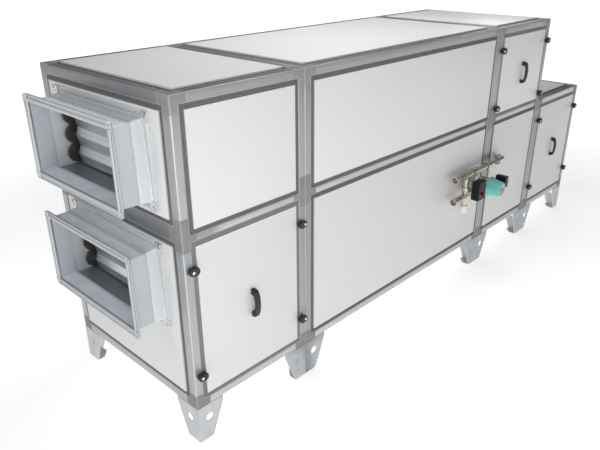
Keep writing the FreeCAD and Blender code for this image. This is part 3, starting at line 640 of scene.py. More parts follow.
def made(name, blocks, material, slot, body="unit", replaces=(), smooth=35.0, bevel=0.0):
    """One piece from shells of points of the drawing, turned outwards, perhaps with its edges eased."""
    points, faces, uv, first = [], [], [], 0
    for block_points, block_faces, across in blocks:
        points.append(block_points)
        faces += [[v + first for v in face] for face in block_faces]
        uv.append(np.zeros((len(block_points), 2)) if across is None else np.asarray(across).reshape(-1, 2))
        first += len(block_points)
    points = DRAWING_ORIGIN + np.concatenate(points) / 1000.0
    uv = np.concatenate(uv) / 1000.0
    mesh = bpy.data.meshes.new(name)
    mesh.from_pydata(points.tolist(), [], faces)
    lay_uv(mesh, uv)
    shape = bmesh.new()
    shape.from_mesh(mesh)
    bmesh.ops.remove_doubles(shape, verts=shape.verts, dist=0.000002)
    bmesh.ops.dissolve_degenerate(shape, edges=shape.edges, dist=0.000002)
    bmesh.ops.recalc_face_normals(shape, faces=shape.faces)
    if bevel:
        sharp = [e for e in shape.edges if len(e.link_faces) == 2 and e.calc_face_angle() > math.radians(32)]
        bmesh.ops.bevel(shape, geom=sharp, offset=bevel / 1000.0, segments=2, affect="EDGES",
                        profile=0.5, clamp_overlap=True)
    shape.to_mesh(mesh)
    shape.free()
    return show(name, mesh, material, slot, body, replaces, smooth)


def rounded(half_a, half_b, radius, steps):
    """Rounded rectangle: each corner is an arc of steps + 1 points about a centre inset by the radius."""
    turn = np.linspace(0.0, math.pi / 2, steps + 1)
    corners = []
    for quarter, (a, b) in enumerate(((1, 1), (-1, 1), (-1, -1), (1, -1))):
        angle = turn + quarter * math.pi / 2
        corners.append(np.stack([a * (half_a - radius) + radius * np.cos(angle),
                                 b * (half_b - radius) + radius * np.sin(angle)], -1))
    return np.concatenate(corners)


def carried_ring(centre, half_a, half_b, axis_a, axis_b, normal, profile):
    """Profile carried round a rectangle with mitred corners.

    Each profile point is (out, lift): out from the rectangle's edge in its plane and lift along the normal.
    A corner's point is centre + sign (half + out) along each axis + lift along the normal."""
    profile = np.asarray(profile, float)
    signs = np.array([(1, 1), (-1, 1), (-1, -1), (1, -1)], float)
    reach_a = signs[:, :1] * (half_a + profile[:, 0])
    reach_b = signs[:, 1:] * (half_b + profile[:, 0])
    points = (np.asarray(centre, float) + reach_a[..., None] * axis_a + reach_b[..., None] * axis_b
              + profile[None, :, 1, None] * normal)
    around = np.broadcast_to(np.array([0.0, 2 * half_a, 0.0, 2 * half_a])[:, None], reach_a.shape)
    across = np.stack([around, np.broadcast_to(profile[:, 0], reach_a.shape)], -1)
    return block(points, [grid_faces(4, len(profile), True, True)], across)


def bar(profile, start, end, across, out):
    """Closed profile carried straight from start to end. Each profile point is (across, out)."""
    profile = np.asarray(profile, float)
    start, end = np.asarray(start, float), np.asarray(end, float)
    section = profile[:, :1] * across + profile[:, 1:] * out
    points = np.stack([start + section, end + section])
    count = len(profile)
    caps = [list(range(count))[::-1], list(range(count, 2 * count))]
    length = np.linalg.norm(end - start)
    span = np.cumsum(np.r_[0.0, np.linalg.norm(np.diff(profile, axis=0), axis=1)])
    uv = np.stack([np.stack([np.zeros(count), span], -1), np.stack([np.full(count, length), span], -1)])
    return block(points, [grid_faces(2, count, False, True), *([cap] for cap in caps)], uv)


def stack(outlines, centre, axis_a, axis_b, normal, lifts):
    """Solid from outlines laid over each other: outline k is lifted along the normal by lifts[k]."""
    rings = [centre + line[:, :1] * axis_a + line[:, 1:] * axis_b + lift * normal
             for line, lift in zip(outlines, lifts)]
    count = len(rings[0])
    last = (len(rings) - 1) * count
    caps = [list(range(count))[::-1], list(range(last, last + count))]
    return block(np.stack(rings), [grid_faces(len(rings), count, False, True), *([cap] for cap in caps)])


def holed(outline, hole, centre, axis_a, axis_b, normal, low, high):
    """Plate with a hole: both loops have as many points, in step round the plate, at two heights."""
    loops = [(outline, low), (outline, high), (hole, high), (hole, low)]
    rings = [centre + line[:, :1] * axis_a + line[:, 1:] * axis_b + lift * normal for line, lift in loops]
    return block(np.stack(rings), [grid_faces(4, len(outline), True, True)])


def turned(profile, centre, axis, steps=32, sides=None):
    """Turned part: each profile point is (radius, distance along the axis), carried round in steps.

    sides gives the number of flats where the part is a nut or a plate with corners."""
    profile = np.asarray(profile, float)
    side = Z if abs(axis[2]) < 0.5 else X
    other = np.cross(axis, side)
    count = sides or steps
    angle = 2 * math.pi * (np.arange(count) + (0.5 if sides else 0.0)) / count
    ring = np.cos(angle)[:, None] * side + np.sin(angle)[:, None] * other
    points = (np.asarray(centre, float) + profile[:, None, :1] * ring[None]
              + profile[:, None, 1:] * np.asarray(axis, float))
    around = np.broadcast_to(angle * profile[:, 0].max(), (len(profile), count))
    along = np.broadcast_to(profile[:, 1:], (len(profile), count))
    last = (len(profile) - 1) * count
    caps = [list(range(count)), list(range(last, last + count))[::-1]]
    return block(points, [grid_faces(len(profile), count, False, True), *([cap] for cap in caps)],
                 np.stack([around, along], -1))


def pipe(path, radii, steps=28):
    """Round tube along a path: each ring of points stands square to the path with its own radius."""
    path = np.asarray(path, float)
    ahead = np.gradient(path, axis=0)
    ahead /= np.linalg.norm(ahead, axis=1)[:, None]
    side = np.cross(ahead, Z if abs(ahead[:, 2]).max() < 0.9 else Y)
    side /= np.linalg.norm(side, axis=1)[:, None]
    up = np.cross(side, ahead)
    angle = np.linspace(0.0, 2 * math.pi, steps, endpoint=False)
    radii = np.broadcast_to(np.asarray(radii, float), (len(path),))
    points = path[:, None] + radii[:, None, None] * (np.cos(angle)[None, :, None] * side[:, None]
                                                      + np.sin(angle)[None, :, None] * up[:, None])
    last = (len(path) - 1) * steps
    caps = [list(range(steps)), list(range(last, last + steps))[::-1]]
    return block(points, [grid_faces(len(path), steps, False, True), *([cap] for cap in caps)])


def bead(start, end, radius, lip=1.6):
    """Profile of a moulded sleeve from start to end along its axis, with rounded rims."""
    arc = np.linspace(0.0, math.pi / 2, 4)
    rise = np.stack([radius - lip + lip * np.sin(arc), start + lip - lip * np.cos(arc)], -1)
    fall = np.stack([radius - lip + lip * np.cos(arc), end - lip + lip * np.sin(arc)], -1)
    return np.concatenate([rise, fall])


def look_from_photo():
    """The photograph's camera: it looks along its azimuth, tilted down and rolled, from its place."""
    azimuth, tilt, roll = (math.radians(a) for a in (CAMERA_AZIMUTH, CAMERA_TILT, CAMERA_ROLL))
    north = np.array([math.sin(azimuth), math.cos(azimuth), 0.0])
    ahead = north * math.cos(tilt) - Z * math.sin(tilt)
    level = np.array([math.cos(azimuth), -math.sin(azimuth), 0.0])
    upright = np.cross(level, ahead)
    right = math.cos(roll) * level + math.sin(roll) * upright
    up = -math.sin(roll) * level + math.cos(roll) * upright
    lens = bpy.data.cameras.new("camera")
    lens.sensor_fit = "HORIZONTAL"
    lens.sensor_width = SENSOR
    lens.lens = SENSOR * FOCAL_PIXELS / PICTURE_WIDTH
    lens.clip_end = 100.0
    camera = bpy.data.objects.new("camera", lens)
    turn = Matrix(np.array([right, up, -ahead]).T.tolist()).to_4x4()
    camera.matrix_world = Matrix.Translation(at(*CAMERA_PLACE)) @ turn
    bpy.context.scene.collection.objects.link(camera)
    bpy.context.scene.camera = camera


def soft_box(name, place, target, width, height, power):
    """Rectangular studio light that faces a target."""
    lamp = bpy.data.lights.new(name, "AREA")
    lamp.shape = "RECTANGLE"
    lamp.size = width
    lamp.size_y = height
    lamp.energy = power
    light = bpy.data.objects.new(name, lamp)
    toward = Vector(target) - Vector(place)
    light.matrix_world = Matrix.Translation(place) @ toward.to_track_quat("-Z", "Y").to_matrix().to_4x4()
    bpy.context.scene.collection.objects.link(light)


def studio():
    """Pale floor, a dim even sky and soft boxes."""
    floor_paint = Finish("studio_floor", (0.93, 0.93, 0.93), 0.9)
    place = floor_paint.place()
    away = (floor_paint.axis(place, 0) ** 2 + floor_paint.axis(place, 1) ** 2) ** 0.5
    glow = floor_paint.blend(away.between(2.2, 5.0), (FLOOR_GLOW,) * 3, (1.0, 1.0, 1.0))
    floor_paint.feed(floor_paint.shader.inputs["Emission Color"], glow)
    floor_paint.shader.inputs["Emission Strength"].default_value = 1.0
    mesh = bpy.data.meshes.new("studio_floor")
    corners = [(a * FLOOR_HALF, b * FLOOR_HALF, 0) for a, b in ((-1, -1), (1, -1), (1, 1), (-1, 1))]
    mesh.from_pydata(corners, [], [(0, 1, 2, 3)])
    mesh.materials.append(floor_paint.material)
    floor = bpy.data.objects.new("studio_floor", mesh)
    bpy.context.scene.collection.objects.link(floor)
    world = bpy.data.worlds.new("studio")
    world.use_nodes = True
    background = world.node_tree.nodes["Background"]
    background.inputs["Color"].default_value = (1.0, 1.0, 1.0, 1.0)
    background.inputs["Strength"].default_value = SKY
    bpy.context.scene.world = world
    for lamp in LAMPS:
        soft_box(*lamp)
    bpy.context.scene.view_settings.view_transform = "Standard"


# Seal strip across its width from the panel out to the aluminium: groove, rib, groove, rib, groove
SEAL_STRIP = ((0.0, -3.9), (0.0, -3.3), (1.8, -3.3), (2.4, -1.6), (3.4, -0.9), (8.2, -0.7), (9.2, -1.2),
              (9.6, -2.6), (10.8, -2.6), (11.2, -1.2), (12.2, -0.8), (16.0, -0.9), (17.0, -1.6),
              (17.4, -3.3), (18.2, -3.3), (18.2, -3.9))
SEAL_WIDTH = 18.0
# Lip of the aluminium that holds the strip's outer edge
LIP_STRIP = ((18.3, -3.9), (18.3, -1.4), (18.9, -0.5), (19.8, -0.1), (20.6, -0.2), (20.9, -0.6),
             (20.9, -3.9))


def seal_blocks(node, axis, side, plane, strip, parted=False):
    """Strips round the panels of a node, which face out along an axis, each from its panel's own box.

    A strip is one mitred ring, or four separate bars where it is parted."""
    blocks = []
    for low, high in (map(drawing, corners) for corners in solids(node)):
        middle = (low + high) / 2
        half = (high - low) / 2 + SEAL_GAP
        a, b = (k for k in range(3) if k != axis)
        normal = np.zeros(3)
        normal[axis] = side
        middle[axis] = plane(low, high)
        way_a, way_b = np.eye(3)[a], np.eye(3)[b]
        if not parted:
            blocks.append(carried_ring(middle, half[a], half[b], way_a, way_b, normal, strip))
            continue
        sides = ((half[a], half[b], way_b, way_a), (half[b], half[a], way_a, way_b))
        for turn in (1, -1):
            for near, far, along, across in sides:
                start = middle + turn * across * near
                reach = along * (far + SEAL_WIDTH)
                blocks.append(bar(strip, start - reach, start + reach, turn * across, normal))
    return blocks


def seals():
    """Ribbed sealing strips and the bright lips beside them, round every panel that shows.

    Each row of the plan is a node, the axis and side that its panels face and the frame's plane there."""
    plan = [(node, 1, -1, lambda low, high: 0.0) for node in ("front_panels", "door_1", "door_3", "door_4")]
    plan += [("back_panels", 1, 1, lambda low, high: UNIT_WIDTH),
             ("roof_panels", 2, 1, lambda low, high: high[2] - ROOF_PROUD),
             ("floor_panels", 2, -1, lambda low, high: low[2])]
    plan += [(node, 0, -1, lambda low, high: 0.0) for node in ("upper_end_panel", "lower_end_panel")]
    plan += [("far_end_panels", 0, 1, lambda low, high: high[0] - END_PROUD)]
    strips = {"panel": [], "door": [], "roof": []}
    lips = []
    for node, *facing in plan:
        kind = node.split("_")[0]
        strips[kind if kind in strips else "panel"] += seal_blocks(node, *facing, SEAL_STRIP)
        lips += seal_blocks(node, *facing, LIP_STRIP, parted=True)
    made("panel_seal_strips", strips["panel"], seal_fixed, "seal_rubber", replaces=("panel_seals",),
         smooth=50.0)
    made("door_seal_strips", strips["door"], seal_door, "seal_rubber", smooth=50.0)
    made("roof_seal_strips", strips["roof"], seal_roof_shaded, "seal_rubber", smooth=50.0)
    made("frame_lips", lips, lip_metal, "aluminium_profile", smooth=60.0)


# Front flange's rail, out from the duct's wall and towards the fabric (negative) from its mating face: bead,
# groove, flat strip, hem and the back
FRONT_FLANGE_RAIL = ((0.0, -4.6), (0.4, -2.6), (1.6, -1.0), (4.5, -0.2), (9.5, -0.1), (12.6, -1.0),
                     (14.0, -2.6), (14.4, -4.4), (15.4, -4.4), (15.8, -3.0), (24.0, -3.0), (24.4, -1.9),
                     (25.4, -1.2), (27.6, -1.2), (28.7, -2.0), (29.0, -3.4), (29.0, -7.0), (27.0, -8.4),
                     (25.6, -6.0), (6.0, -5.6), (2.0, -5.6), (2.0, -10.8), (0.0, -10.8))
# Rear flange's rail: flat on the panel, two ridges and a hem on the side that shows
REAR_FLANGE_RAIL = ((1.4, 0.3), (29.0, 0.3), (29.0, -6.6), (28.2, -7.0), (25.4, -6.2), (24.6, -6.6),
                    (24.2, -9.2), (23.4, -9.6), (22.4, -9.2), (22.0, -6.0), (20.4, -6.0), (20.0, -8.8),
                    (18.8, -9.2), (17.4, -8.8), (17.0, -6.0), (14.8, -6.0), (14.4, -7.2), (3.0, -7.4),
                    (3.0, -10.8), (1.4, -10.8))


def corner_plate_outline(size, radius, steps=12):
    """Square corner plate whose outer corner is an arc: from (0, 0) at the duct's corner to (size, size)."""
    turn = np.linspace(0.0, math.pi / 2, steps + 1)
    arc = np.stack([size - radius + radius * np.cos(turn), size - radius + radius * np.sin(turn)], -1)
    return np.concatenate([[[0.0, 0.0], [size / 2, 0.0], [size, 0.0]], arc, [[0.0, size], [0.0, size / 2]]])


def slot_outline(plate, middle, long_half, short_half):
    """Slotted hole with as many points as the plate has, in step with it round the slot's middle."""
    way = plate - middle
    lean = math.pi / 4
    angle = np.arctan2(way[:, 1], way[:, 0]) - lean
    along = np.cos(angle) * long_half
    across = np.sin(angle) * short_half
    return middle + np.stack([along * math.cos(lean) - across * math.sin(lean),
                              along * math.sin(lean) + across * math.cos(lean)], -1)


def flange(tier, end, rail_width, replaced):
    """Rolled flange: four rails cut square at the duct's corners and a slotted corner plate at each."""
    level = DUCT_LEVELS[tier]
    front = end == "front"
    face = -CONNECTOR_REACH if front else -END_PROUD
    out = -X if front else X
    rail = np.array(FRONT_FLANGE_RAIL if front else REAR_FLANGE_RAIL) * (rail_width / FRONT_RAIL, 1.0)
    half_y, half_z = DUCT_WIDTH / 2, DUCT_HEIGHT / 2
    blocks = []
    centre = np.array([face, DUCT_MIDDLE, level])
    for side in (1, -1):
        for along, across in ((Y * half_y, Z * half_z), (Z * half_z, Y * half_y)):
            edge = centre + side * across
            blocks.append(bar(rail, edge - along, edge + along, side * across / np.linalg.norm(across), out))
    plate = corner_plate_outline(rail_width - 0.4, 17.0 if front else 4.0)
    middle = np.array([rail_width, rail_width]) * (0.56 if front else 0.52)
    slot = slot_outline(plate, middle, 4.2 if front else 5.4, 2.6 if front else 3.4)
    inside = (plate - middle) * 0.86 + middle
    hollow = plate * 0.92 + rail_width * 0.04
    for side in (1, -1):
        for lift in (1, -1):
            spot = (centre + (0, side * half_y, lift * half_z), side * Y, lift * Z, out)
            if front:
                blocks += [holed(plate, inside, *spot, -3.6, -0.6), holed(inside, slot, *spot, -3.6, -1.9),
                           stack([hollow, hollow], *spot, (-8.0, -6.6))]
            else:
                blocks += [holed(plate, slot, *spot, -10.4, -9.0),
                           stack([hollow, hollow], *spot, (-6.4, -0.4))]
    if not front:
        # Painted shade: two dark strips laid along the rear rail by its grooves.
        grooves = [[(a, -6.8), (a, -5.0), (a + 1.8, -5.0), (a + 1.8, -6.8)] for a in (20.2, 27.2)]
        shades = [carried_ring(centre, half_y, half_z, Y, Z, out, groove) for groove in grooves]
        made(tier + "_rear_flange_groove_shade", shades, groove_shade, "galvanised")
    made("%s_%s_flange_rolled" % (tier, end), blocks, zinc_bright if front else band_zinc, "galvanised",
         replaces=replaced, bevel=0.35)


def round_duct(per_side=40):
    """Loop of points (y, z) round the duct's wall, each with its share of both half sides, the way it moves
    when the loop widens (sign times share ** 10 along each axis) and its distance round the loop."""
    half = np.array([DUCT_WIDTH / 2, DUCT_HEIGHT / 2])
    corners = rounded(half[0], half[1], 5.0, 4)
    loop = []
    for quarter in range(4):
        arc = corners[quarter * 5:quarter * 5 + 5]
        following = corners[(quarter * 5 + 5) % 20]
        share = np.linspace(0.0, 1.0, per_side)[1:-1, None]
        loop += [arc, arc[-1] * (1 - share) + following * share]
    loop = np.concatenate(loop)
    share = loop / half
    distance = np.cumsum(np.r_[0.0, np.linalg.norm(np.diff(loop, axis=0), axis=1)])
    return loop, share, np.sign(share) * np.abs(share) ** 10, distance


def widening(share):
    """How far the band stands out from the duct's wall along y and z, at its front edge and more at its
    foot: the sides lean out downwards, the top rises and the bottom stays level."""
    top = share[:, 1] > 0
    front = np.stack([5.5 - 5.0 * share[:, 1], np.where(top, 5.4, 1.6)], -1)
    rise = np.stack([4.5 - 2.5 * share[:, 1], np.where(top, 7.0, 0.8)], -1)
    return front, rise


def collar_band(tier):
    """Zinc band over the fabric's rear end, widening to the flange, and its liner: plain sheet with a turned
    foot.

    At a depth t from 0 to 1 the sheet stands front + rise t out from the duct's wall."""
    level = DUCT_LEVELS[tier]
    loop, share, way, distance = round_duct()
    front, rise = widening(share)
    depth = np.array((0.0, 0.015, 0.04, 0.1, 0.3, 0.6, 0.86, 0.93, 0.98, 1.0))
    grow = depth + np.array((0.0, 0.0, 0.0, 0.0, 0.0, 0.0, 0.0, 0.06, 0.16, 0.16))
    thick = np.array((0.0, 0.3, 0.5, 0.7, 0.8, 0.8, 0.8, 0.8, 0.8, 0.8))
    outer = front + rise * grow[:, None, None] + thick[:, None, None]
    inner = front + rise * grow[:, None, None] - 0.6
    spot = loop + np.concatenate([outer, inner[::-1]]) * way
    x = np.broadcast_to((BAND_START + 46.0 * np.r_[depth, depth[::-1]])[:, None], spot.shape[:2])
    points = np.array([0.0, DUCT_MIDDLE, level]) + np.concatenate([x[..., None], spot], -1)
    uv = np.stack([np.broadcast_to(distance, x.shape), x - BAND_START], -1)
    ring = block(points, [grid_faces(*x.shape, True, True)], uv)
    made(tier + "_collar_band", [ring], band_zinc, "galvanised")
    profile = [(0.0, -0.6), (0.5, -1.2), (1.2, -0.6), (1.2, 52.0), (0.0, 52.0)]
    centre = (BAND_START, DUCT_MIDDLE, level)
    liner = carried_ring(centre, DUCT_WIDTH / 2, DUCT_HEIGHT / 2, Y, Z, X, profile)
    made(tier + "_collar_liner", [liner], zinc_inner, "galvanised")


def sleeve(tier, rows=26):
    """Fabric tube between the flanges, drawn as a grid round the duct and along it.

    Out from the duct's wall the cloth stands at a small even distance, plus a pucker where it is clamped and
    a slow wave along each side that is largest half way between the flanges; the lower side hangs a little.
    Towards the band the tube widens as the band's front edge does."""
    level = DUCT_LEVELS[tier]
    x0 = -CONNECTOR_REACH + SLEEVE_LAP
    x1 = -END_PROUD - COLLAR_REACH + SLEEVE_LAP
    along = np.linspace(0.0, 1.0, rows)[:, None]
    loop, share, way, distance = round_duct()
    strong = np.abs(share[:, 0]) > np.abs(share[:, 1])
    swell = np.sin(math.pi * along) ** 0.8
    phase = 0.0 if tier == "upper" else 1.3
    wave = (0.7 * np.sin(distance / 61.0 + phase + 2.1 * along)
            + 0.5 * np.sin(distance / 23.0 - 3.0 * along + phase)
            + 0.25 * np.sin(distance / 9.0 + 5.0 * along))
    free = np.where(strong, 1 - np.abs(share[:, 1]) ** 6, 1 - np.abs(share[:, 0]) ** 6)
    hang = np.where(strong, 0.7, np.where(share[:, 1] < 0, 1.2, -1.4)) * free
    pucker = 0.35 * np.sin(distance / 5.0) * (np.exp(-along / 0.05) + np.exp(-(1 - along) / 0.05))
    offset = swell * (wave * free + hang) + pucker * free
    start = np.array([2.6, 2.6])
    offset = start + (widening(share)[0] + 0.2 - start) * along[..., None] ** 1.3 + offset[..., None]
    x = np.broadcast_to(x0 + (x1 - x0) * along, offset.shape[:2])
    centre = np.array([0.0, DUCT_MIDDLE, level])

    def skin(grow):
        flat = loop + (offset + grow) * way
        return centre + np.stack([x, flat[..., 0], flat[..., 1]], -1)

    count = loop.shape[0]
    outer, inner = skin(0.45), skin(-0.45)
    points = np.concatenate([outer.reshape(-1, 3), inner.reshape(-1, 3)])
    faces = grid_faces(rows, count, False, True)
    total = rows * count
    rims = []
    for row in (0, rows - 1):
        j = np.arange(count)
        rims.append(np.stack([row * count + j, row * count + (j + 1) % count,
                              total + row * count + (j + 1) % count, total + row * count + j], -1))
    uv = np.stack([np.broadcast_to(distance, x.shape), x - x0], -1)
    piece = made(tier + "_fabric_cloth",
                 [block(points, [faces, faces[:, ::-1] + total, *rims], np.concatenate([uv, uv]))],
                 fabric, "duct_fabric", replaces=(tier + "_fabric_sleeve",), smooth=60.0)
    (distance[-1] + SEAM) / 1000.0


def blade_section(half):
    """Closed outline of a damper blade: two flat facets to a side that meet in a blunt ridge, fine grooves
    low on each, and hooked edges. Off the ridge the half thickness is 1.6 + 10.2 (1 - |z| / half)."""
    share = np.array((-1.0, -0.97, -0.94, -0.9, -0.72, -0.7, -0.68, -0.52, -0.5, -0.48, -0.3, -0.1, 0.0, 0.1,
                      0.3, 0.6, 0.9, 0.94, 0.97, 1.0))
    size = np.abs(share)
    swell = 1.6 + 10.2 * (1 - np.maximum(size, 0.07))
    swell = swell - np.where(np.isin(share, (-0.7, -0.5)), 0.8, 0.0)
    swell = np.where(size > 0.95, 2.8, swell)
    front = np.stack([-swell, share * half], -1)
    back = np.stack([swell, share * half], -1)[::-1]
    return np.concatenate([front, back])


def gear_outline(shifted):
    """Toothed outline: each tooth rises straight from the root to a flat tip."""
    angle = np.linspace(0.0, 2 * math.pi, GEAR_TEETH * 8, endpoint=False)
    beat = np.cos(GEAR_TEETH * (angle - (math.pi / GEAR_TEETH if shifted else 0.0)))
    radius = (GEAR_TIP + GEAR_ROOT) / 2 + (GEAR_TIP - GEAR_ROOT) / 2 * np.clip(1.8 * beat, -1.0, 1.0)
    return np.stack([radius * np.cos(angle), radius * np.sin(angle)], -1)


def blade(tier, number):
    """Blade on its shaft with black end pieces and, as a second piece, the gear at its far end.

    The gear's teeth lie behind a plain round cheek that is as wide as the teeth are at their middle."""
    level = DUCT_LEVELS[tier] - DUCT_HEIGHT / 2 + BLADE_GAP + GEAR_TIP + (number - 1) * BLADE_PITCH
    low = DUCT_MIDDLE - DUCT_WIDTH / 2
    high = DUCT_MIDDLE + DUCT_WIDTH / 2
    gear_start = high - 6.0 - 12.0
    name = "%s_blade_%d" % (tier, number)
    half = (BLADE_PITCH - BLADE_GAP) / 2
    section = blade_section(half)
    end = gear_start - 26.0
    lip = [(-1.2, half - 0.6), (1.2, half - 0.6), (0.9, half + 2.8), (0.0, half + 3.3), (-0.9, half + 2.8)]
    shaft = [(5.4, 0.0), (6.0, 0.6), (6.0, DUCT_WIDTH + 5.4), (5.4, DUCT_WIDTH + 6.0)]
    ends = (BLADE_SET_BACK, low + 6.0, level), (BLADE_SET_BACK, end, level)
    blocks = [bar(section, *ends, X, Z), bar(lip, *ends, X, Z),
              turned(shaft, (BLADE_SET_BACK, low - 3.0, level), Y, 24)]
    made(name + "_profile", blocks, blade_metal, "blade_aluminium", name, (name,), smooth=20.0)
    centre = np.array([BLADE_SET_BACK, gear_start, level])
    outline = gear_outline(number % 2 == 0)
    cheek = (GEAR_TIP + GEAR_ROOT) / 2 + 0.4
    teeth = [outline * 0.985, outline, outline, outline * 0.985]
    blocks = [stack(teeth, centre, X, Z, Y, (2.6, 3.0, 11.6, 12.0)),
              turned([(cheek - 1.0, 0.0), (cheek, 0.8), (cheek, 3.2)], centre, Y, 72),
              turned([(9.0, -24.0), (10.0, -22.0), (12.0, 1.0)], centre, Y, 32)]
    for y, thick in ((end - 0.4, 3.0), (low + 4.0, 4.0)):
        spot = np.array([BLADE_SET_BACK, y, level])
        blocks.append(stack([section * (1.04, 1.0)] * 2, spot, X, Z, Y, (0.0, thick)))
    made(name + "_gear", blocks, gear_black, "black_plastic", name, smooth=34.0)


def handle(low, high):
    """Bowed bridge handle: rounded sections carried along the door's height.

    The outer line is a flat bow that falls to the door in a quarter ellipse at each foot; the inner line
    leaves the door inside the feet. Across, each section is a rounded rectangle that narrows towards the
    feet, with fine ridges over the grip."""
    x, _, z = drawing((low + high) / 2)
    half = (high - low)[2] * 500
    t = np.concatenate([np.linspace(-1, -0.62, 24), np.linspace(-0.61, 0.61, 74), np.linspace(0.62, 1, 24)])
    size = np.abs(t)
    bow = HANDLE_REACH - 0.6 - 5.6 * (np.minimum(size, 0.74) / 0.74) ** 2
    fall = np.clip((size - 0.74) / 0.26, 0.0, 1.0)
    outer = 6.0 + (bow - 6.0) * np.sqrt(np.clip(1 - fall ** 2.2, 0.0, 1.0))
    rise = np.clip((0.69 - size) / 0.07, 0.0, 1.0)
    inner = 0.05 + rise * (bow - 10.8)
    wide = 26.0 - 5.5 * np.clip((size - 0.5) / 0.5, 0.0, 1.0) ** 1.5 - 1.2 * (1 - size)
    wide = wide - 2.4 * fall ** 3
    ridges = 0.28 * np.cos(t * half * 2 * math.pi / 3.6) * np.clip((0.5 - size) * 12, 0, 1)
    corners = rounded(1.0, 1.0, 0.42, 6)
    across = corners[None, :, 0] * (wide / 2)[:, None]
    mid = (outer + inner) / 2
    thick = (outer - inner) / 2
    lift = mid[:, None] + corners[None, :, 1] * thick[:, None]
    lift = lift + ridges[:, None] * np.clip(corners[None, :, 1], 0.0, 1.0) ** 4
    along = np.broadcast_to((z + half * t)[:, None], lift.shape)
    points = np.stack([x + across, -PANEL_PROUD - lift, along], -1)
    rows, count = lift.shape
    last = (rows - 1) * count
    caps = [[list(range(count))], [list(range(last, last + count))[::-1]]]
    uv = np.stack([np.broadcast_to((half * t)[:, None], lift.shape), across], -1)
    return block(points, [grid_faces(rows, count, False, True), *caps], uv)


def egg(small, large, offset, toward, count=40):
    """Egg outline: the convex hull's arcs of a small circle at the pivot and a large one offset from it."""
    lean = math.asin((large - small) / offset)
    wide = np.linspace(-math.pi / 2 - lean, math.pi / 2 + lean, count)
    narrow = np.linspace(math.pi / 2 + lean, 3 * math.pi / 2 - lean, count // 2)
    outline = np.concatenate([np.stack([offset + large * np.cos(wide), large * np.sin(wide)], -1),
                              np.stack([small * np.cos(narrow), small * np.sin(narrow)], -1)])
    return outline * (toward, 1.0)


def clamp(door, number):
    """Turn clamp: stepped boss on the frame, egg-shaped lobe with a dished rim, foot and screw."""
    name = "door_%d_clamp_%d" % (door, number)
    lo, hi = node_box(name)
    toward = 1.0 if number % 2 == 1 else -1.0
    pivot_x = lo[0] + CLAMP_PIVOT if toward > 0 else hi[0] - CLAMP_PIVOT
    pivot = np.array([pivot_x, 0.0, (lo[2] + hi[2]) / 2])
    lifts = (8.0, 8.6, 17.0, 20.6, 22.2, 22.9)
    insets = (0.6, 0.0, 0.0, 0.7, 2.0, 4.2)
    lobes = [egg(CLAMP_PIVOT - s, 17.0 - s, 12.5, toward) for s in insets]
    blocks = [stack(lobes, pivot, X, Z, -Y, lifts)]
    blocks.append(turned([(9.6, 0.3), (10.0, 0.8), (10.0, 4.6), (8.4, 5.4), (8.4, 8.4)], pivot, -Y, 32))
    blocks.append(turned([(5.2, 2.3), (6.0, 3.2), (6.0, 8.4)], pivot + X * toward * 21.5, -Y, 24))
    made(name + "_lobe", blocks, black, "black_plastic", name, (name,), smooth=40.0)
    screw = [(5.6, 22.7), (5.6, 23.0), (4.9, 23.2), (3.9, 23.2), (3.6, 22.95), (0.6, 22.95)]
    made(name + "_screw", [turned(screw, pivot, -Y, 32)], cap_white, "white_plastic", name, smooth=50.0)


def bolt(centre, axis, across=9.0, height=4.0):
    """Hexagon bolt head on its washer."""
    radius = across / math.sqrt(3.0)
    washer = np.array([(0.78, -0.2), (0.82, 0.2), (0.82, 1.0), (0.78, 1.4)]) * (across, 1.0)
    head = [(radius, 1.2), (radius, height - 0.7), (radius * 0.86, height), (radius * 0.1, height)]
    return [turned(washer, centre, axis, 28), turned(head, centre, axis, sides=6)]


def connector_bolts(tier):
    """Bolts that hold the rear flange to the end panel, one through each corner plate."""
    level = DUCT_LEVELS[tier]
    blocks = []
    reach_y = DUCT_WIDTH / 2 + 29.5
    reach_z = DUCT_HEIGHT / 2 + 29.5
    plane = -END_PROUD - 10.4
    for side in (1, -1):
        for lift in (1, -1):
            blocks += bolt((plane, DUCT_MIDDLE + side * reach_y, level + lift * reach_z), -X)
    made(tier + "_flange_bolts", blocks, steel, "galvanised", smooth=30.0)


def brasswork(name, blocks, node):
    """One piece of plated brass that stands for a node."""
    made(name, blocks, brass, "fitting_brass", replaces=(node,), smooth=38.0)


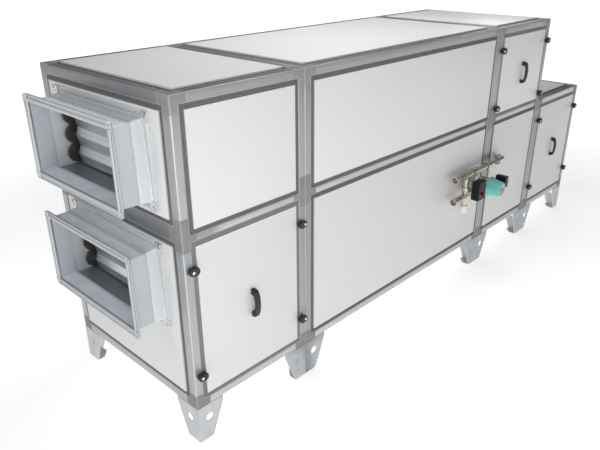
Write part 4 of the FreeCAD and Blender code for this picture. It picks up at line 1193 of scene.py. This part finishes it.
def lines():
    """Supply and return lines: pipes with sleeves, tees, unions and the bend into the coil section."""
    supply = np.array([LINE_START, LINE_Y, SUPPLY_LEVEL])
    back = np.array([LINE_START, LINE_Y, RETURN_LEVEL])
    neck = np.array([VALVE_X, LINE_Y, 583.0])
    elbow = np.array([COIL_X, LINE_Y, SUPPLY_LEVEL])
    run = COIL_X - BEND_RADIUS - LINE_START
    tee = VALVE_X - LINE_START
    bypass = BYPASS_X - LINE_START
    mouth = [(14.2, 30.0), (14.2, 2.0), (15.4, 0.0), (20.2, 0.0), (21.5, 1.4), (21.5, 11.0), (19.8, 13.0),
             (19.8, 32.0), (18.4, 34.0), (PIPE_RADIUS, 34.6), (PIPE_RADIUS, 60.0)]
    union = [(19.0, run - 97), (23.4, run - 95.5), (23.9, run - 94), (23.9, run - 75), (23.4, run - 73.5),
             (19.0, run - 72)]
    branch = [(15.6, 0.0), (15.6, 18.0), (PIPE_RADIUS, 30.0), (18.4, 44.0), (20.0, 64.0)]
    sleeves = ((tee - 30, tee + 30), (bypass - 26, bypass + 26), (run - 170, run - 98), (run - 46, run))
    rims = (tee - 30, tee + 24, bypass - 26, bypass + 20, run - 170, run - 46)
    turn = np.linspace(0.0, math.pi / 2, 14)[:, None]
    bend = elbow + BEND_RADIUS * (X * (np.sin(turn) - 1) + Y * (1 - np.cos(turn)))
    blocks = [turned(mouth, supply, X, 40), turned([(PIPE_RADIUS, 50.0), (PIPE_RADIUS, run)], supply, X, 40)]
    blocks += [turned(bead(first, last, 20.4), supply, X, 40) for first, last in sleeves]
    blocks += [turned(bead(place, place + 6.0, 21.5, 2.0), supply, X, 40) for place in rims]
    blocks += [turned(union, supply, X, sides=6), turned(bead(run - 72, run - 64, 19.0), supply, X, 32),
               pipe(np.concatenate([bend[:1] - X * 3, bend, bend[-1:] + Y * 3]), 20.2, 36),
               turned(bead(0.0, 8.0, 21.4, 2.0), elbow + Y * 20, Y, 40),
               turned([(17.0, 0.0), (17.0, 25.8)], elbow + Y * BEND_RADIUS, Y, 40),
               turned(branch, neck, Z, 36), turned(bead(10.0, 17.0, 17.2), neck, Z, 36)]
    brasswork("supply_line_pipework", blocks, "supply_line")
    blocks = [turned(mouth, back, X, 40), turned([(PIPE_RADIUS, 50.0), (PIPE_RADIUS, 101.0)], back, X, 40),
              turned(bead(76.0, 100.0, 19.6), back, X, 36)]
    brasswork("return_line_pipework", blocks, "return_line")


def valve():
    """Three-way valve: waisted body with its ports, ribbed nut, actuator neck, cap below and the bypass."""
    centre = np.array([VALVE_X, LINE_Y, RETURN_LEVEL - 52.0])
    body = [(14.0, 0.0), (18.0, 0.0), (19.0, 1.2), (19.0, 7.6), (18.0, 9.0), (15.6, 10.0), (15.6, 33.0),
            (17.0, 35.0), (18.6, 38.0), (18.6, 66.0), (17.2, 69.0), (17.2, 72.0), (18.8, 74.0), (18.8, 94.0),
            (14.0, 96.0)]
    nut = [(18.0, 93.0), (23.2, 94.0), (24.0, 95.6), (24.0, 107.4), (23.2, 109.4), (15.0, 111.0)]
    inlet = [(19.4, 10.0), (19.4, 18.0), (18.2, 19.0), (PIPE_RADIUS, 19.0)]
    outlet = [(PIPE_RADIUS, 0.0), (PIPE_RADIUS, 60.0), (20.4, 61.0), (21.5, 62.5), (21.5, 68.0),
              (20.0, 70.0), (20.0, 104.0), (21.5, 106.0), (21.5, 107.0)]
    neck = [(14.0, 0.0), (14.0, 20.0), (16.0, 21.0), (16.0, 43.8)]
    blocks = [turned(body, centre, Z, 40), turned(nut, centre, Z, sides=12),
              turned(inlet, (VALVE_X, LINE_Y, RETURN_LEVEL), -X, 36),
              turned(outlet, (VALVE_X, LINE_Y, PUMP_LEVEL), X, 36),
              turned(neck, (VALVE_X, LINE_Y, RETURN_LEVEL + 26.0), -Y, 32)]
    brasswork("mixing_valve_body", blocks, "mixing_valve")
    cap = [(15.4, 0.0), (16.0, -0.6), (16.0, -7.4), (17.6, -8.4), (18.0, -9.6), (18.0, -34.0), (16.6, -37.2),
           (14.6, -38.0), (1.0, -38.0)]
    rib = [(0.4, -10.6), (0.9, -11.2), (0.9, -33.0), (0.4, -33.6)]
    blocks = [turned(cap, centre, Z, 40)]
    for angle in 2 * math.pi * np.arange(20) / 20:
        spot = centre + 17.4 * (X * math.cos(angle) + Y * math.sin(angle))
        blocks.append(turned(rib, spot, Z, 8))
    made("valve_cap_ribbed", blocks, cap_white, "white_plastic", replaces=("valve_cap",), smooth=45.0)
    start = PUMP_LEVEL + 19.0
    foot = (BYPASS_X, LINE_Y, start)
    blocks = [turned([(12.0, 0.0), (12.0, SUPPLY_LEVEL - 19.0 - start)], foot, Z, 28),
              turned(bead(0.0, 26.0, 16.0), foot, Z, 32), turned(bead(42.0, 68.0, 16.0), foot, Z, 32)]
    brasswork("bypass_pipework", blocks, "bypass_line")


def box_shell(low, high, edge, steps=3):
    """Box with all its edges rounded: rounded outlines laid over each other, smaller near both faces.

    At lift h above the lower face an outline is inset by edge - sqrt(edge^2 - (edge - h)^2)."""
    low, high = np.asarray(low, float), np.asarray(high, float)
    middle = (low + high) / 2
    half = (high - low) / 2
    turn = np.linspace(0.0, math.pi / 2, steps + 1)
    inset = np.concatenate([edge * (1 - np.sin(turn)), edge * (1 - np.cos(turn))])
    lift = np.concatenate([-half[1] + edge * (1 - np.cos(turn)), half[1] - edge * (1 - np.sin(turn))])
    outlines = [rounded(half[0] - s, half[2] - s, max(edge * 1.6 - s, 0.2), 5) for s in inset]
    return stack(outlines, middle, X, Z, Y, lift)


def actuator():
    """Actuator box with a parting line, a dial, and the red arcs of its scale."""
    lo, hi = node_box("valve_actuator")
    split = hi[1] - 13.0
    blocks = [box_shell(lo, (hi[0], split - 0.6, hi[2]), 3.0),
              box_shell((lo[0] + 0.8, split, lo[2] + 0.8), (hi[0] - 0.8, hi[1], hi[2] - 0.8), 2.4),
              box_shell((lo[0] + 2.0, split - 3.0, lo[2] + 2.0), (hi[0] - 2.0, split + 3.0, hi[2] - 2.0),
                        1.0)]
    made("valve_actuator_case", blocks, actuator_black, "black_plastic", replaces=("valve_actuator",),
         smooth=38.0)
    centre = sum(node_box("actuator_dial")) / 2
    centre[1] = lo[1]
    knob = [(11.0, 0.35), (11.0, 1.6), (9.8, 2.6), (9.4, 4.6), (8.6, 5.2), (0.8, 5.2)]
    pointer = box_shell(centre + (-2.7, -9.2, -9.6), centre + (2.7, -4.6, 9.6), 1.4)
    made("actuator_dial_knob", [turned(knob, centre, -Y, 40), pointer], dial_black, "black_plastic",
         "actuator_dial", ("actuator_dial",), smooth=40.0)
    marks = []
    for start, end, inner, outer in ((100.0, 250.0, 19.0, 22.5), (-60.0, -20.0, 17.0, 20.0)):
        angle = np.radians(np.linspace(start, end, 30))
        ring = np.stack([np.cos(angle), np.sin(angle)], -1)
        outline = np.concatenate([ring * outer, ring[::-1] * inner])
        marks.append(stack([outline, outline], centre, X, Z, -Y, (-0.2, 0.25)))
    made("actuator_scale", marks, scale_red, "black_plastic", smooth=40.0)


def pump():
    """Pump: volute and union, motor with a lobed flange, end disc and plug, terminal box and its knob."""
    centre = np.array([PUMP_X, LINE_Y, PUMP_LEVEL])
    volute = [(30.0, -22.8), (42.0, -22.0), (46.0, -17.0), (46.0, 26.0), (44.0, 32.6), (38.0, 32.9)]
    inlet = [(PIPE_RADIUS, 30.0), (PIPE_RADIUS, 66.0), (20.0, 67.0), (21.5, 69.0), (21.5, 86.0),
             (20.0, 88.0)]
    union = [(18.0, 44.0), (23.6, 45.4), (24.0, 47.0), (24.0, 66.0), (23.2, 68.0), (18.0, 69.6)]
    blocks = [turned(volute, centre, -Y, 48), turned([(21.4, -49.8), (21.4, -22.0)], centre, -Y, 40),
              turned(inlet, centre, -X, 36), turned(union, centre, -X, sides=6)]
    brasswork("pump_volute", blocks, "pump_housing")
    face = np.array([PUMP_X, 0.0, PUMP_LEVEL])
    angle = np.linspace(0.0, 2 * math.pi, 192, endpoint=False)
    lobes = 51.5 + 8.2 * np.clip(np.cos(4 * (angle - math.pi / 4)), 0.0, 1.0) ** 1.6
    outline = np.stack([lobes * np.cos(angle), lobes * np.sin(angle)], -1)
    plate = [outline * 0.985, outline, outline, outline * 0.975]
    shell = [(51.2, 92.0), (50.6, 95.0), (49.0, 104.0), (46.2, 122.0), (43.0, 144.0), (41.0, 157.0),
             (39.6, 162.4), (37.4, 165.0), (34.6, 165.8), (10.0, 165.8)]
    boss = [(6.6, 90.0), (6.6, 95.6), (5.8, 96.4), (1.0, 96.4)]
    screw = [(4.0, 96.2), (4.0, 97.6), (3.2, 98.2), (1.9, 98.2), (1.8, 97.2), (0.4, 97.2)]
    turns = np.radians((45, 135, 225, 315))
    spots = [face + 50.5 * (X * math.cos(turn) + Z * math.sin(turn)) for turn in turns]
    blocks = [stack(plate, face, X, Z, -Y, (85.2, 86.2, 92.6, 93.8)), turned(shell, face, -Y, 64)]
    blocks += [turned(boss, spot, -Y, 24) for spot in spots]
    made("pump_motor_shell", blocks, teal, "pump_paint", replaces=("pump_motor",), smooth=34.0)
    made("pump_screws", [turned(screw, spot, -Y, 20) for spot in spots], steel, "galvanised", smooth=34.0)
    disc = [(33.6, 165.4), (34.0, 166.2), (33.4, 167.8), (31.6, 168.0), (30.8, 167.5), (1.0, 167.5)]
    made("pump_end_disc", [turned(disc, face, -Y, 64)], disc_silver, "pump_paint", smooth=34.0)
    plug = [(8.0, 167.2), (8.0, 170.6), (7.2, 172.0), (5.6, 172.6), (1.0, 172.6)]
    slot_bar = box_shell(face + (-6.4, -172.8, -0.9), face + (6.4, -171.4, 0.9), 0.3)
    made("pump_vent_plug", [turned(plug, face, -Y, 32), slot_bar], plug_brass, "fitting_brass", smooth=34.0)
    lo, hi = node_box("pump_terminal_box")
    front = lo[1]
    seat = PUMP_X + 44.0
    blocks = [box_shell((seat + 4.0, front + 1.0, lo[2] + 1.5), (hi[0], hi[1] - 1.0, hi[2] - 0.5), 3.0),
              box_shell((seat + 1.0, front, lo[2]), (hi[0] - 1.0, front + 9.0, hi[2]), 2.4)]
    for z in lo[2] + 8.0 + 5.6 * np.arange(9):
        blocks.append(box_shell((seat + 1.6, front + 10.0, z), (seat + 5.0, hi[1] - 3.0, z + 2.2), 0.6, 2))
    made("pump_terminal_case", blocks, terminal_black, "black_plastic", replaces=("pump_terminal_box",),
         smooth=38.0)
    spot = np.array([hi[0] - 10.5, front, hi[2] - 13.0])
    knob = [turned([(8.6, -0.4), (8.6, 0.5), (8.0, 1.0), (6.8, 1.0)], spot, -Y, 36),
            box_shell(spot + (-1.4, -1.4, -6.0), spot + (1.4, -0.6, 6.0), 0.3)]
    made("pump_speed_knob", knob, scale_red, "black_plastic", smooth=38.0)


look_from_photo()
studio()

white = powder_coat()
aluminium = anodised_aluminium()
lip_metal = smooth_plastic("seal_lip", (0.50, 0.50, 0.49), 0.35)
corner_grey = moulded_grey()
seal_fixed = seal_rubber("seal_fixed", (0.155, 0.155, 0.156), (0.050, 0.051, 0.052))
# Roof seals: a darker copy of the same rubber, painted shade for strips that look up into the overhead
# light.
seal_roof_shaded = seal_rubber("seal_roof_shaded", (0.06, 0.06, 0.061), (0.012, 0.012, 0.012), 1.0)
seal_door = seal_rubber("seal_door", (0.26, 0.26, 0.26), (0.05, 0.05, 0.052), 1.0)
# Legs' zinc: level parts painted darker as painted shade, eased edges a painted highlight.
zinc = zinc_sheet()
# Flange zinc: level rails painted darker, a painted shade.
zinc_bright = zinc_sheet("flange_zinc", (0.72, 0.74, 0.765), (0.64, 0.66, 0.68), (0.45, 0.47, 0.49))
# Casing zinc: faces that look up, the casing's floor, painted dark as painted shade.
zinc_inner = zinc_sheet("casing_zinc", (0.80, 0.82, 0.84), (0.74, 0.76, 0.78), (0.78, 0.80, 0.82),
                        (0.26, 0.275, 0.29))
# Band zinc: its top painted pale, a painted light against the end wall's shadow, with a painted shade along
# its front edge.
band_zinc = zinc_sheet("band_zinc", (0.72, 0.745, 0.765), (0.68, 0.70, 0.725), (0.74, 0.77, 0.785),
                       (0.90, 0.94, 0.97), BAND_FRONT)
groove_shade = smooth_plastic("groove_shade", (0.13, 0.14, 0.16), 0.5)
fabric = coated_fabric()
blade_metal = brushed_blade()
black = black_plastic()
gear_black = black_plastic("gear_nylon", (0.05, 0.051, 0.051), 700.0)
actuator_black = black_plastic("actuator_plastic", (0.003, 0.003, 0.003), 800.0)
dial_black = black_plastic("dial_plastic", (0.008, 0.008, 0.009), 600.0)
terminal_black = black_plastic("terminal_plastic", (0.008, 0.008, 0.009), 800.0)
brass = plated_brass()
teal = pump_enamel()
steel = bright_steel()
cap_white = smooth_plastic("cap_white", (0.98, 0.98, 0.975))
scale_red = smooth_plastic("scale_red", (0.42, 0.035, 0.03), 0.45)
disc_silver = smooth_plastic("disc_silver", (0.50, 0.49, 0.50), 0.4)
plug_brass = smooth_plastic("plug_brass", (0.33, 0.24, 0.08), 0.35)

for number in (1, 2, 3, 4):
    eased("section_%d_frame" % number, 0.0012, aluminium, "aluminium_profile")
eased("corner_pieces", 0.0016, corner_grey, "corner_plastic", segments=3)
eased("legs", 0.0008, zinc, "galvanised")
for node in ("front_panels", "back_panels", "roof_panels", "floor_panels", "tier_decks", "far_end_panels",
             "upper_end_panel", "lower_end_panel", "door_1", "door_3", "door_4"):
    eased(node, 0.0018, white, "white_panel", segments=3)
seals()
for tier in ("upper", "lower"):
    flange(tier, "front", FRONT_RAIL, (tier + "_front_flange",))
    flange(tier, "rear", REAR_RAIL, (tier + "_rear_flange",))
    collar_band(tier)
    sleeve(tier)
    eased(tier + "_damper_casing", 0.0006, zinc_inner, "galvanised")
    connector_bolts(tier)
    for number in (1, 2, 3):
        blade(tier, number)
handles = [handle(low, high) for low, high in solids("door_handles")]
made("bridge_handles", handles, black, "black_plastic", replaces=("door_handles",), smooth=50.0)
for door in (1, 3, 4):
    for number in (1, 2, 3, 4):
        clamp(door, number)
lines()
valve()
actuator()
pump()
